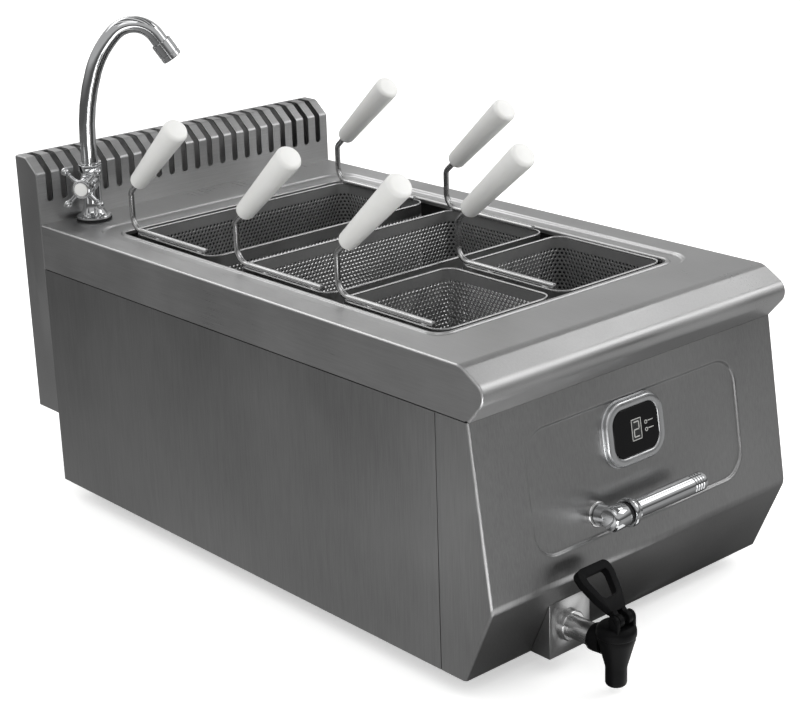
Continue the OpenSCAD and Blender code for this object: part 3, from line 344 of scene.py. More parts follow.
def hex_nut(matrix, across, tall, edge=0.8):
    """A nut whose width across flats, height and rounding of its edges are given in millimetres."""
    deselect()
    corner = across / 2 / cos(pi / 6) * MM
    bpy.ops.mesh.primitive_cylinder_add(vertices=6, radius=corner, depth=tall * MM)
    nut = bpy.context.object
    bpy.ops.object.mode_set(mode="EDIT")
    bpy.ops.mesh.select_all(action="SELECT")
    bpy.ops.mesh.bevel(offset=edge * MM, segments=3, affect="EDGES")
    place(nut, matrix @ Matrix.Translation(mm(0, 0, tall / 2)))
    return nut


def round_plate(width, height, radius, matrix=Matrix(), segments=10):
    """Adds a plate with round corners to the mesh being edited, and leaves it selected."""
    bpy.ops.mesh.primitive_plane_add(size=1)
    bpy.ops.mesh.select_mode(type="VERT")
    bpy.ops.transform.resize(value=(width, height, 1), center_override=(0, 0, 0))
    bpy.ops.mesh.bevel(offset=radius, offset_type="OFFSET", segments=segments, affect="VERTICES")
    mesh = bpy.context.object.data
    shape = bmesh.from_edit_mesh(mesh)
    for vert in shape.verts:
        if vert.select:
            vert.co = matrix @ vert.co
    shape.normal_update()
    bmesh.update_edit_mesh(mesh)
    bpy.ops.mesh.select_mode(type="FACE")


def new_plate(width, height, radius, matrix=Matrix(), segments=10):
    """A new mesh that holds one plate with round corners, left in edit mode with the plate selected."""
    deselect()
    bpy.ops.mesh.primitive_plane_add(size=2 * MM)
    bpy.ops.object.mode_set(mode="EDIT")
    bpy.ops.mesh.delete(type="VERT")
    round_plate(width, height, radius, matrix, segments)
    return bpy.context.object


def press(*steps):
    """Insets the selected face again and again, by (width, depth) steps in millimetres."""
    for width, depth in steps:
        bpy.ops.mesh.inset(thickness=width * MM, depth=depth * MM, use_even_offset=True)


def round_steps(radius, angle, count, sign):
    """Steps of a round that starts level and turns through an angle, up or down by its sign."""
    turns = [i / count * angle for i in range(count + 1)]
    spots = [(radius * sin(turn), radius * (1 - cos(turn))) for turn in turns]
    return [(b[0] - a[0], sign * (b[1] - a[1])) for a, b in zip(spots, spots[1:])]


def quarter(radius, count, sign=1):
    """Steps of a quarter round that starts level and ends upright."""
    return round_steps(radius, pi / 2, count, sign)


def shoulder(depth, radius, count, sign=-1):
    """Steps of a pressed edge: a round over, then a round out, to a depth."""
    over = round_steps(radius, acos(1 - depth / 2 / radius), count, sign)
    return over + over[::-1]


def fill_round(test):
    """Fills the open field between two boundary loops whose edges pass a test."""
    pick("EDGE", lambda e: len(e.link_faces) < 2 and test(e))
    bpy.ops.mesh.fill(use_beauty=True)


def arc(centre, radius, start, end, count):
    """Points on an arc in the Y-Z plane; angles in radians from +Y to +Z."""
    return [Vector((0, centre[0] + radius * cos(a), centre[1] + radius * sin(a)))
            for a in (start + (end - start) * i / count for i in range(count + 1))]


def on_panel(x, rise, depth=0):
    """Frame on the control panel, at a rise from its crease: X along the panel, Y up it, Z out of it."""
    up = Vector((0, sin(UPPER_LEAN), cos(UPPER_LEAN)))
    out = Vector((0, -cos(UPPER_LEAN), sin(UPPER_LEAN)))
    spot = Vector((x, Y_CREASE, Z_CREASE)) + up * rise - out * depth
    return Matrix((
        (1, up.x, out.x, spot.x),
        (0, up.y, out.y, spot.y),
        (0, up.z, out.z, spot.z),
        (0, 0, 0, 1)))


def along(start, direction):
    """Frame at a point whose Z runs along a direction."""
    turn = Vector(direction).to_track_quat("Z", "Y").to_matrix().to_4x4()
    return Matrix.Translation(Vector(start)) @ turn


def copied(node):
    """A merged copy of a CAD node's mesh, to dress."""
    deselect()
    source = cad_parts[node]
    piece = bpy.data.objects.new(node + "_dressed", source.data.copy())
    bpy.context.scene.collection.objects.link(piece)
    edit(piece)
    bpy.ops.mesh.select_all(action="SELECT")
    bpy.ops.mesh.remove_doubles(threshold=2 * NEAR)
    bpy.ops.mesh.dissolve_limited(angle_limit=radians(0.5))
    deselect()
    return piece


def node(tree, kind, settings=None, sockets=None):
    """Adds a shader node; an input that is given another node's output is linked, any other is set."""
    made = tree.nodes.new("ShaderNode" + kind)
    for key, value in (settings or {}).items():
        setattr(made, key, value)
    for key, value in (sockets or {}).items():
        if isinstance(value, bpy.types.NodeSocket):
            tree.links.new(value, made.inputs[key])
        else:
            made.inputs[key].default_value = value
    return made


def new_finish(name):
    """A new material with its node tree and its shader."""
    finish = bpy.data.materials.new(name)
    finish.use_nodes = True
    return finish.node_tree, finish.node_tree.nodes["Principled BSDF"]


def shade(base, factor):
    """A colour made lighter or darker."""
    return [min(1, c * factor) for c in base[:3]] + [1]


def fineness(size):
    """Scale of a pattern whose marks have a size in millimetres."""
    return 1 / (size * MM)


def brushed(name, base, grain, rough, streak=1.2, spread=0.1, cloud=90, axis=None, metal=1):
    """Brushed or satin stainless steel: fine streaks along the brushing and soft clouds of wiping marks.

    grain holds the pattern's stretch along X, Y and Z. streak is the streaks' spacing in millimetres,
    drawn coarser than real grit so that it shows, and cloud is the clouds' size. axis is the brushing's
    direction, across which reflections spread. metal is less than one on a dull sheet, which scatters
    part of the light.
    """
    tree, shader = new_finish(name)
    where = node(tree, "TexCoord").outputs["Object"]
    stretched = node(tree, "Mapping", sockets={"Vector": where, "Scale": grain}).outputs["Vector"]
    lines = node(tree, "TexNoise", sockets={"Vector": stretched, "Scale": fineness(streak), "Detail": 4,
                                            "Roughness": 0.65}).outputs["Fac"]
    clouds = node(tree, "TexNoise", sockets={"Vector": where, "Scale": fineness(cloud),
                                             "Detail": 3}).outputs["Fac"]
    mixed = node(tree, "Math", {"operation": "ADD"}, {0: clouds, 1: lines}).outputs[0]
    # Most values of the two patterns together lie between these
    low, high = 0.7, 1.3
    tint = node(tree, "MapRange", sockets={"Value": mixed, "From Min": low, "From Max": high}).outputs[0]
    paint = node(tree, "Mix", {"data_type": "RGBA"}, {0: tint, 6: shade(base, 1 - spread),
                                                      7: shade(base, 1 + spread)})
    tree.links.new(paint.outputs[2], shader.inputs["Base Color"])
    worn = node(tree, "MapRange", sockets={"Value": mixed, "From Min": low, "From Max": high,
                                           "To Min": rough - 0.06, "To Max": rough + 0.08}).outputs[0]
    tree.links.new(worn, shader.inputs["Roughness"])
    bump = node(tree, "Bump", sockets={"Height": lines, "Strength": 0.12, "Distance": 0.02 * MM})
    tree.links.new(bump.outputs["Normal"], shader.inputs["Normal"])
    shader.inputs["Metallic"].default_value = metal
    if axis:
        across = node(tree, "Tangent", {"direction_type": "RADIAL", "axis": axis})
        tree.links.new(across.outputs["Tangent"], shader.inputs["Tangent"])
        shader.inputs["Anisotropic"].default_value = 0.6


def polished(name, base, rough, cloud):
    """Polished metal: nearly mirror bright, with faint clouds of water marks of a size in millimetres."""
    tree, shader = new_finish(name)
    where = node(tree, "TexCoord").outputs["Object"]
    clouds = node(tree, "TexNoise", sockets={"Vector": where, "Scale": fineness(cloud),
                                             "Detail": 4}).outputs["Fac"]
    paint = node(tree, "Mix", {"data_type": "RGBA"}, {0: clouds, 6: shade(base, 0.92),
                                                      7: shade(base, 1.05)})
    tree.links.new(paint.outputs[2], shader.inputs["Base Color"])
    worn = node(tree, "MapRange", sockets={"Value": clouds, "From Min": NOISE_LOW, "From Max": NOISE_HIGH,
                                           "To Min": rough * 0.6, "To Max": rough * 1.6}).outputs[0]
    tree.links.new(worn, shader.inputs["Roughness"])
    shader.inputs["Metallic"].default_value = 1


def moulded(name, base, rough, grit, depth, spread=0.06, flow=14, soft=0.0, gloss=0.5):
    """Moulded plastic or rubber: a fine grain, and slow changes of tone where the plastic flowed.

    grit is the grain's size, depth its depth and flow the size of the tones, in millimetres. soft is the
    share of the light that goes into the plastic and comes out again.
    """
    tree, shader = new_finish(name)
    where = node(tree, "TexCoord").outputs["Object"]
    tones = node(tree, "TexNoise", sockets={"Vector": where, "Scale": fineness(flow),
                                            "Detail": 3}).outputs["Fac"]
    grain = node(tree, "TexNoise", sockets={"Vector": where, "Scale": fineness(grit),
                                            "Detail": 2}).outputs["Fac"]
    paint = node(tree, "Mix", {"data_type": "RGBA"}, {0: tones, 6: shade(base, 1 - spread),
                                                      7: shade(base, 1 + spread)})
    tree.links.new(paint.outputs[2], shader.inputs["Base Color"])
    worn = node(tree, "MapRange", sockets={"Value": tones, "From Min": NOISE_LOW, "From Max": NOISE_HIGH,
                                           "To Min": rough - 0.07, "To Max": rough + 0.07}).outputs[0]
    tree.links.new(worn, shader.inputs["Roughness"])
    bump = node(tree, "Bump", sockets={"Height": grain, "Strength": 0.3, "Distance": depth * MM})
    tree.links.new(bump.outputs["Normal"], shader.inputs["Normal"])
    shader.inputs["Specular IOR Level"].default_value = gloss
    if soft:
        shader.inputs["Subsurface Weight"].default_value = soft
        shader.inputs["Subsurface Radius"].default_value = mm(8, 8, 7.5)


class COOKER_OT_finishes(bpy.types.Operator):
    """Makes the materials"""

    bl_idname = "cooker.finishes"
    bl_label = "Finishes"

    def execute(self, context):
        c = context.scene.cooker_finish
        # Stainless sheet, brushed upright: grey, painted darker than the worktop's copy as painted shade,
        # with streaks that blur reflections up and down
        brushed("brushed_steel_casing", c.casing, (1, 1, 0.03), 0.36, spread=0.16, cloud=170, axis="Z")
        # The same stainless sheet, brushed front to back, painted lighter than the casing: painted light on
        # the upward-facing top
        brushed("brushed_steel_worktop", c.worktop, (1, 0.03, 1), 0.33, axis="Y")
        # The same sheet folded into the flue, brushed across, in the worktop's lighter tone: painted light
        brushed("brushed_steel_flue", c.worktop, (0.03, 1, 1), 0.36, axis="X")
        # Perforated stainless sheet on the outside of the baskets and on their floors, painted darker than
        # the steel: painted shade in the gaps round the baskets
        brushed("basket_outside_painted_shade", shade(c.basket, 0.7), (1, 1, 1), 0.36, streak=2.5)
        # The same sheet inside, painted darker still: painted shade inside the baskets
        brushed("basket_inside_painted_shade", shade(c.basket, 0.62), (1, 1, 1), 0.48, streak=2.5, metal=0.85)
        # The sheared edges of its holes, painted lighter than the steel: painted highlight
        brushed("basket_hole_edges_painted_highlight", shade(c.basket, 1.35), (1, 1, 1), 0.4, streak=2.5, metal=0.8)
        # Stainless sheet of the well, painted far darker than steel: painted shade inside the well
        brushed("well_steel_painted_shade", c.well, (1, 1, 1), 0.38, streak=2.5)
        # Drawn stainless bar, bright with faint draw lines
        polished("drawn_steel", c.bright, 0.2, 12)
        # Chromium plate on polished brass: hard mirror reflections
        polished("chrome_plate", c.chrome, 0.06, 25)
        # The same plate on a satin-blasted ground: soft, pale reflections
        polished("satin_chrome", c.chrome, 0.3, 25)
        # Bare turned brass inside the casing
        polished("turned_brass", linear("#b08a52"), 0.28, 8)
        # Nickel-alloy heating tube, dull and tarnished by heat
        brushed("tarnished_heater", linear("#56504a"), (1, 0.1, 1), 0.5, streak=2)
        # Polypropylene, turned and slightly translucent
        moulded("polypropylene_white", c.grips, 0.42, 0.7, 0.02, spread=0.025, soft=0.6)
        # Glass-filled nylon, moulded, with a fine matt grain
        moulded("nylon_black", c.nylon, 0.44, 0.5, 0.03, spread=0.2, gloss=0.08)
        # Nitrile rubber, matt
        moulded("rubber_black", linear("#101011"), 0.7, 0.6, 0.05, spread=0.2)
        # Silicone rubber of the tap's seat
        moulded("silicone_red", linear("#8e3a2c"), 0.55, 0.6, 0.03)
        # Acrylic window, glossy, with faint wiping marks
        moulded("acrylic_black", c.glass, 0.12, 3, 0.002, spread=0.3, gloss=0.2)
        # The display behind the window, faintly lit
        moulded("display_grey", linear("#2b2c2c"), 0.3, 1, 0.002, spread=0.2, gloss=0.2)
        # Screen ink on the window
        moulded("print_ink", c.ink, 0.5, 0.4, 0.01)
        return {"FINISHED"}


class COOKER_OT_worktop(bpy.types.Operator):
    """Builds the worktop with its front nose, skirts and pressed ledge round the well"""

    bl_idname = "cooker.worktop"
    bl_label = "Worktop"

    # The slope's upper end and the nose's centre, back from the crease and down from the top
    slope_back = 34 * MM
    nose_back, nose_drop, nose_radius = 21 * MM, 23.5 * MM, 13.5 * MM
    slope_bend = 5 * MM
    # The underside's gap over the control panel, and the turn behind it
    under_gap, under_turn = 0.15 * MM, 4 * MM
    # Radii of the ledge, the bead and the lip, the bead's flat and the lip's drop, in millimetres
    ledge_round, bead_round, lip_round = 3.2, 1.4, 2.4
    bead_flat, lip_drop = 1, 3
    # How far the opening's edge comes in over the well: both sides together, and the back
    over_sides, over_back = 6 * MM, 10 * MM
    # The folds to the skirts, in fold radii
    skirt_fold = 1.5
    # Only the flat top is larger than this, in square metres
    large = 0.05

    def execute(self, context):
        s = context.scene.cooker_sizes
        slope = Vector((0, Y_CREASE + self.slope_back, Z_TOP))
        nose = Vector((0, Y_CREASE + self.nose_back, Z_TOP - self.nose_drop))
        under = Vector((0, Y_PANEL, Z_PANEL + self.under_gap))
        up, low = slope - nose, under - nose
        start = atan2(up.z, up.y) + acos(self.nose_radius / up.length)
        end = tau + atan2(low.z, low.y) - acos(self.nose_radius / low.length)
        outline = [Vector((0, Y_FLUE, Z_SKIRT)), Vector((0, Y_FLUE, Z_TOP)), slope]
        outline += arc((nose.y, nose.z), self.nose_radius, start, end, 14)
        # The underside comes back to the control panel's upper edge
        outline += [under, Vector((0, under.y + self.under_turn, Z_SKIRT))]
        piece = draw([p - Vector((X_SIDE, 0, 0)) for p in outline])
        bpy.ops.mesh.select_all(action="SELECT")
        bpy.ops.mesh.extrude_region_move(TRANSFORM_OT_translate={"value": (2 * X_SIDE, 0, 0)})
        for side in (-X_SIDE, X_SIDE):
            pick("VERT", lambda v: abs(v.co.x - side) < NEAR)
            bpy.ops.mesh.edge_face_add()
        tidy_normals()
        # The bend from the flat top to the front slope
        pick("EDGE", lambda e: all((v.co - slope).yz.length < NEAR for v in e.verts))
        bpy.ops.mesh.bevel(offset=self.slope_bend, segments=4, affect="EDGES")
        # The folds down to the side skirts
        pick("EDGE", lambda e: len(e.link_faces) == 2 and abs(abs(middle(e).x) - X_SIDE) < NEAR)
        bpy.ops.mesh.bevel(offset=s.fold * self.skirt_fold, segments=4, affect="EDGES")
        # The flat top gives way to the ledge and the well's edge
        pick("FACE", lambda f: f.normal.z > FACING and f.calc_area() > self.large)
        bpy.ops.mesh.delete(type="ONLY_FACE")
        mid = Matrix.Translation((0, WELL_MID.y, Z_TOP))
        round_plate(WELL_SIZE.x + 2 * s.ledge_width, WELL_SIZE.y + 2 * s.ledge_width,
                    s.well_corner + s.ledge_width / 2 - SHEET, mid, 12)
        edge = shoulder(s.ledge_depth / MM, self.ledge_round, 6)
        bead = shoulder(s.bead / MM, self.bead_round, 4, 1)
        lip = [*bead, (self.bead_flat, 0), *quarter(self.lip_round, 5, -1)]
        wide = s.ledge_width / MM - sum(w for w, _ in edge) - sum(w for w, _ in lip)
        press(*edge, (wide, 0))
        # The opening's edge comes in over the well, most of all at the back
        front = Vector((0, WELL_MID.y - WELL_SIZE.y / 2, Z_TOP))
        shrink = (1 - self.over_sides / WELL_SIZE.x, 1 - self.over_back / WELL_SIZE.y, 1)
        bpy.ops.transform.resize(value=shrink, center_override=front)
        press(*lip, (0, -self.lip_drop))
        bpy.ops.mesh.delete(type="FACE")
        fill_round(lambda e: all(abs(v.co.z - Z_TOP) < NEAR for v in e.verts))
        tidy_normals()
        apply(piece, "SOLIDIFY", thickness=SHEET, offset=-1, use_even_offset=True)
        settle(piece, "worktop_sheet", "casing", "worktop_steel", "brushed_steel_worktop", "worktop",
               smooth=25, flat=True)
        return {"FINISHED"}


class COOKER_OT_well(bpy.types.Operator):
    """Builds the deep-drawn well"""

    bl_idname = "cooker.well"
    bl_label = "Well"

    # Radius round the floor, in millimetres
    floor_round = 8

    def execute(self, context):
        s = context.scene.cooker_sizes
        top = Matrix.Translation((0, WELL_MID.y, WELL_HIGH.z))
        piece = new_plate(WELL_SIZE.x, WELL_SIZE.y, s.well_corner, top, 12)
        straight = WELL_SIZE.z / MM - self.floor_round
        turn_in = [(fall, -reach) for reach, fall in reversed(quarter(self.floor_round, 5))]
        press((0, -straight), *turn_in)
        tidy_normals()
        deselect()
        apply(piece, "SOLIDIFY", thickness=SHEET, offset=1, use_even_offset=True)
        # The well's sheet takes the finish with painted shade
        settle(piece, "well_sheet", "casing", "well_steel", "well_steel_painted_shade", "well_tank")
        return {"FINISHED"}


class COOKER_OT_control_panel(bpy.types.Operator):
    """Builds the folded control panel with its pressed field"""

    bl_idname = "cooker.control_panel"
    bl_label = "Control panel"

    # Radius of the field's pressed edge, in millimetres
    field_round = 2.8
    # Only the upper face is larger than this, in square metres
    large = 0.03

    def execute(self, context):
        s = context.scene.cooker_sizes
        foot = Vector((-X_SIDE, Y_CREASE + (Z_CREASE - Z_BASE) * tan(LOWER_LEAN), Z_BASE))
        crease = Vector((-X_SIDE, Y_CREASE, Z_CREASE))
        head = Vector((-X_SIDE, Y_PANEL, Z_PANEL))
        piece = draw([foot, crease, head])
        bpy.ops.mesh.select_all(action="SELECT")
        bpy.ops.mesh.extrude_region_move(TRANSFORM_OT_translate={"value": (2 * X_SIDE, 0, 0)})
        # The two cheeks go back to the side panels
        for side in (-X_SIDE, X_SIDE):
            pick("EDGE", lambda e: all(abs(v.co.x - side) < NEAR for v in e.verts))
            bpy.ops.mesh.extrude_region_move()
            for vert in self.selected():
                vert.co.y = Y_SEAM
            bmesh.update_edit_mesh(piece.data)
        tidy_normals()
        pick("EDGE", lambda e: all((v.co - crease).yz.length < NEAR for v in e.verts))
        bpy.ops.mesh.bevel(offset=s.crease, segments=5, affect="EDGES")
        # The folds between the front and its cheeks
        pick("EDGE", lambda e: len(e.link_faces) == 2 and abs(abs(middle(e).x) - X_SIDE) < NEAR
             and e.calc_face_angle() > SHARP)
        bpy.ops.mesh.bevel(offset=s.panel_fold, segments=6, affect="EDGES")
        # The upper face gives way to the pressed field
        out = Vector((0, -cos(UPPER_LEAN), sin(UPPER_LEAN)))
        pick("FACE", lambda f: f.normal.dot(out) > FACING and f.calc_area() > self.large)
        level = self.selected()[0].co.dot(out)
        bpy.ops.mesh.delete(type="ONLY_FACE")
        field = on_panel(0, s.field_low + s.field_height / 2)
        round_plate(s.field_width, s.field_height, s.field_corner, field, 12)
        press(*shoulder(s.field_depth / MM, self.field_round, 5))
        fill_round(lambda e: all(abs(v.co.dot(out) - level) < 2 * NEAR for v in e.verts))
        tidy_normals()
        apply(piece, "SOLIDIFY", thickness=SHEET, offset=-1, use_even_offset=True)
        settle(piece, "control_panel_sheet", "casing", "casing_steel", "brushed_steel_casing",
               "control_panel", smooth=25, flat=True)
        return {"FINISHED"}

    @staticmethod
    def selected():
        """Selected points of the mesh being edited."""
        return [v for v in bmesh.from_edit_mesh(bpy.context.object.data).verts if v.select]


class COOKER_OT_side_panels(bpy.types.Operator):
    """Builds the two side panels with folded edges"""

    bl_idname = "cooker.side_panels"
    bl_label = "Side panels"

    # Width of the margin inside the folded edges, in millimetres
    margin = 12
    # The edges' folds, in fold radii
    edge_fold = 0.7

    def execute(self, context):
        s = context.scene.cooker_sizes
        size = Vector((SHEET, Y_FLUE - Y_SEAM - SEAM, Z_PANEL - Z_BASE))
        for side, name in ((-1, "left"), (1, "right")):
            deselect()
            mid = Vector((side * (X_SIDE - SHEET / 2), (Y_FLUE + Y_SEAM + SEAM) / 2,
                          (Z_PANEL + Z_BASE) / 2))
            bpy.ops.mesh.primitive_cube_add(size=1, location=mid)
            piece = context.object
            bpy.ops.object.mode_set(mode="EDIT")
            bpy.ops.transform.resize(value=size, center_override=mid)
            # The outer sheet turns in at its edges
            pick("FACE", lambda f: f.normal.x * side > FACING)
            press((self.margin, 0))
            pick("EDGE", lambda e: len(e.link_faces) == 2 and e.calc_face_angle() > SHARP
                 and abs(middle(e).x) > X_SIDE - NEAR)
            bpy.ops.mesh.bevel(offset=s.fold * self.edge_fold, segments=3, affect="EDGES")
            place(piece, Matrix.Translation(mid))
            settle(piece, name + "_side_sheet", "casing", "casing_steel", "brushed_steel_casing",
                   name + "_side_panel", smooth=25, flat=True)
        return {"FINISHED"}


class COOKER_OT_flue(bpy.types.Operator):
    """Builds the flue housing and cuts its slots"""

    bl_idname = "cooker.flue"
    bl_label = "Flue"

    chamfer_deep, chamfer_tall = 19.2 * MM, 15.3 * MM
    bend, slot_edge = 2 * MM, 0.35 * MM
    # The folds at the two ends, in fold radii
    end_fold = 1.3
    # Height of the slots' lower ends above the worktop, and the cutters' reach past the sheet
    slot_low = 27 * MM
    past = 5 * MM

    def execute(self, context):
        s = context.scene.cooker_sizes
        outline = [(Y_FLUE, Z_FLUE_LOW), (Y_FLUE, Z_FLUE - self.chamfer_tall),
                   (Y_FLUE + self.chamfer_deep, Z_FLUE), (Y_BACK, Z_FLUE), (Y_BACK, Z_FLUE_LOW)]
        piece = prism([(-X_SIDE, y, z) for y, z in outline], (2 * X_SIDE, 0, 0))
        edit(piece)
        pick("EDGE", lambda e: abs(e.verts[0].co.x - e.verts[1].co.x) > X_SIDE and middle(e).z > Z_TOP)
        bpy.ops.mesh.bevel(offset=self.bend, segments=3, affect="EDGES")
        pick("EDGE", lambda e: abs(abs(middle(e).x) - X_SIDE) < NEAR and e.calc_face_angle() > SHARP)
        bpy.ops.mesh.bevel(offset=s.fold * self.end_fold, segments=3, affect="EDGES")
        deselect()
        apply(piece, "SOLIDIFY", thickness=SHEET, offset=-1, use_even_offset=True)
        # One round-ended cutter, repeated across the width
        half, low, high = s.slot_width / 2, Z_TOP + self.slot_low, Z_FLUE + self.past
        first = -(s.slot_count - 1) / 2 * s.slot_pitch
        turns = [pi + i * pi / 10 for i in range(11)]
        end = [(first + half * cos(turn), low + half * sin(turn)) for turn in turns]
        slot = [(first - half, high), *end, (first + half, high)]
        cutter = prism([(x, Y_FLUE - self.past, z) for x, z in slot], (0, Y_BACK - Y_FLUE, 0))
        apply(cutter, "ARRAY", count=s.slot_count, use_relative_offset=False, use_constant_offset=True,
              constant_offset_displace=(s.slot_pitch, 0, 0))
        apply(piece, "BOOLEAN", object=cutter, operation="DIFFERENCE", solver="EXACT")
        bpy.data.objects.remove(cutter)
        round_edges(piece, self.slot_edge, 50, 1)
        settle(piece, "flue_sheet", "casing", "casing_steel", "brushed_steel_flue", "flue_housing",
               smooth=25, flat=True)
        return {"FINISHED"}


class COOKER_OT_baskets(bpy.types.Operator):
    """Rolls the four baskets from perforated sheet"""

    bl_idname = "cooker.baskets"
    bl_label = "Baskets"

    corner = 14 * MM
    rim_radius = 1 * MM
    # Plain strips below the holes of a wall, and along X and Y at both ends of a floor's holes
    wall_strip = 5 * MM
    floor_strips_x, floor_strips_y = 22 * MM, 20 * MM
    # Gap between a floor and its walls
    floor_gap = 0.05 * MM
    # Points of the sheet closer than this share of the holes' pitch are merged
    merge = 0.02

    def execute(self, context):
        s = context.scene.cooker_sizes
        for name in ("basket_rear", "basket_middle", "basket_front_left", "basket_front_right"):
            low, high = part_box(name)
            walls = self.walls(low, high, s)
            # Walls and floor take the basket finishes that carry painted shade and painted highlight
            settle(walls, name + "_walls", name, "well_steel", "basket_outside_painted_shade", name, smooth=40)
            floor = self.floor(low, high, s)
            settle(floor, name + "_floor", name, "well_steel", "basket_outside_painted_shade", name, smooth=40)
            rim = self.rim(low, high)
            settle(rim, name + "_rim", name, "bright_steel", "drawn_steel", name, smooth=50)
        return {"FINISHED"}

    def cells(self, columns, rows, pitch, hole):
        """A flat sheet of six-sided cells in staggered rows, each hole still closed by a face."""
        deselect()
        bpy.ops.mesh.primitive_circle_add(vertices=6, radius=pitch / sqrt(3), fill_type="NGON")
        piece = bpy.context.object
        bpy.ops.object.mode_set(mode="EDIT")
        bpy.ops.mesh.select_mode(type="FACE")
        bpy.ops.mesh.select_all(action="SELECT")
        bpy.ops.mesh.inset(thickness=(pitch - hole) / 2)
        bpy.ops.mesh.select_all(action="SELECT")
        step = pitch * sqrt(3) / 2
        bpy.ops.mesh.duplicate_move(TRANSFORM_OT_translate={"value": (pitch / 2, step, 0)})
        deselect()
        apply(piece, "ARRAY", count=columns, use_relative_offset=False, use_constant_offset=True,
              constant_offset_displace=(pitch, 0, 0))
        apply(piece, "ARRAY", count=rows // 2, use_relative_offset=False, use_constant_offset=True,
              constant_offset_displace=(0, 2 * step, 0))
        edit(piece)
        bpy.ops.mesh.select_all(action="SELECT")
        bpy.ops.mesh.remove_doubles(threshold=pitch * self.merge)
        return piece

    def open_holes(self):
        """Opens the six-sided holes of the mesh being edited."""
        pick("FACE", lambda f: len(f.verts) == 6)
        bpy.ops.mesh.delete(type="ONLY_FACE")

    def outline(self, low, high):
        """Lengths of a basket's sides and corners, and a function of the way round that gives the place."""
        r = self.corner
        wide, deep = high.x - low.x - 2 * r, high.y - low.y - 2 * r
        bend = r * pi / 2
        runs = (wide, bend, deep, bend, wide, bend, deep, bend)
        left, right, front, back = low.x + r, high.x - r, low.y + r, high.y - r
        corners = ((left, front), (right, front), (right, back), (left, back))

        def spot(way):
            """The place at a way round from the front left corner, counter-clockwise."""
            way %= sum(runs)
            for i, run in enumerate(runs):
                if way <= run:
                    break
                way -= run
            quarter_turn = i // 2
            heading = quarter_turn * pi / 2
            if i % 2:
                x, y = corners[(quarter_turn + 1) % 4]
                turn = heading - pi / 2 + way / r
                return x + r * cos(turn), y + r * sin(turn)
            x, y = corners[quarter_turn]
            return x + r * sin(heading) + way * cos(heading), y - r * cos(heading) + way * sin(heading)

        return runs, spot

    def walls(self, low, high, s):
        """A flat perforated sheet, rolled round the basket's outline and given its thickness."""
        runs, spot = self.outline(low, high)
        around = sum(runs)
        columns = round(around / s.hole_pitch)
        pitch = around / columns
        step = pitch * sqrt(3) / 2
        rows = 2 * int((high.z - low.z - s.band - self.wall_strip) / (2 * step))
        piece = self.cells(columns, rows, pitch, s.hole * pitch / s.hole_pitch)
        bottom, top = -pitch / sqrt(3), (rows - 1) * step + pitch / sqrt(3)
        # The outer rows get straight edges, which then go up to the rim and down to the floor
        tooth = 0.3 * pitch
        shape = bmesh.from_edit_mesh(piece.data)
        for vert in shape.verts:
            if vert.is_boundary and vert.co.y < bottom + tooth:
                vert.co.y = bottom
            if vert.is_boundary and vert.co.y > top - tooth:
                vert.co.y = top
        bmesh.update_edit_mesh(piece.data)
        self.open_holes()
        rise = high.z - low.z - s.band - top
        for level, target in ((top, high.z - low.z - rise), (bottom, -rise)):
            pick("EDGE", lambda e: all(abs(v.co.y - level) < NEAR for v in e.verts))
            bpy.ops.mesh.extrude_region_move(TRANSFORM_OT_translate={"value": (0, target - level, 0)})
        shape = bmesh.from_edit_mesh(piece.data)
        for vert in shape.verts:
            x, y = spot(vert.co.x)
            vert.co = (x, y, low.z + rise + vert.co.y)
        bmesh.update_edit_mesh(piece.data)
        bpy.ops.mesh.select_all(action="SELECT")
        bpy.ops.mesh.remove_doubles(threshold=pitch * self.merge)
        deselect()
        # The outside and the inside are painted darker, as painted shade, and the edges of the holes
        # lighter, as painted highlight
        for finish in ("basket_outside_painted_shade", "basket_inside_painted_shade", "basket_hole_edges_painted_highlight"):
            piece.data.materials.append(bpy.data.materials[finish])
        apply(piece, "SOLIDIFY", thickness=BASKET_SHEET, offset=-1, material_offset=1,
              material_offset_rim=2)
        return piece

    def floor(self, low, high, s):
        """A flat perforated sheet with a plain margin and round corners."""
        pitch = s.hole_pitch
        step = pitch * sqrt(3) / 2
        columns = int((high.x - low.x - self.floor_strips_x) / pitch)
        rows = 2 * int((high.y - low.y - self.floor_strips_y) / (2 * step))
        piece = self.cells(columns, rows, pitch, s.hole)
        bpy.ops.mesh.select_all(action="SELECT")
        mid = (low + high) / 2
        corner = (mid.x - (columns - 0.5) * pitch / 2, mid.y - (rows - 1) * step / 2, 0)
        bpy.ops.transform.translate(value=corner)
        wall = BASKET_SHEET + self.floor_gap
        round_plate(high.x - low.x - 2 * wall, high.y - low.y - 2 * wall, self.corner - wall,
                    Matrix.Translation((mid.x, mid.y, 0)), 6)
        bpy.ops.mesh.delete(type="ONLY_FACE")
        pick("EDGE", lambda e: len(e.link_faces) < 2)
        bpy.ops.mesh.fill(use_beauty=True)
        self.open_holes()
        bpy.ops.mesh.select_all(action="SELECT")
        bpy.ops.transform.translate(value=(0, 0, low.z + BASKET_SHEET))
        bpy.ops.mesh.normals_make_consistent(inside=False)
        deselect()
        apply(piece, "SOLIDIFY", thickness=BASKET_SHEET, offset=-1)
        return piece

    def rim(self, low, high):
        """The rolled edge along the top of a basket."""
        steps = 8
        inset = Vector((BASKET_SHEET, BASKET_SHEET, 0)) / 2
        runs, spot = self.outline(low + inset, high - inset)
        z = high.z - self.rim_radius
        path = []
        for i in range(1, len(runs), 2):
            before = sum(runs[:i])
            path += [(*spot(before + runs[i] * k / steps), z) for k in range(steps + 1)]
        return tube(path + path[:1], self.rim_radius, 12)


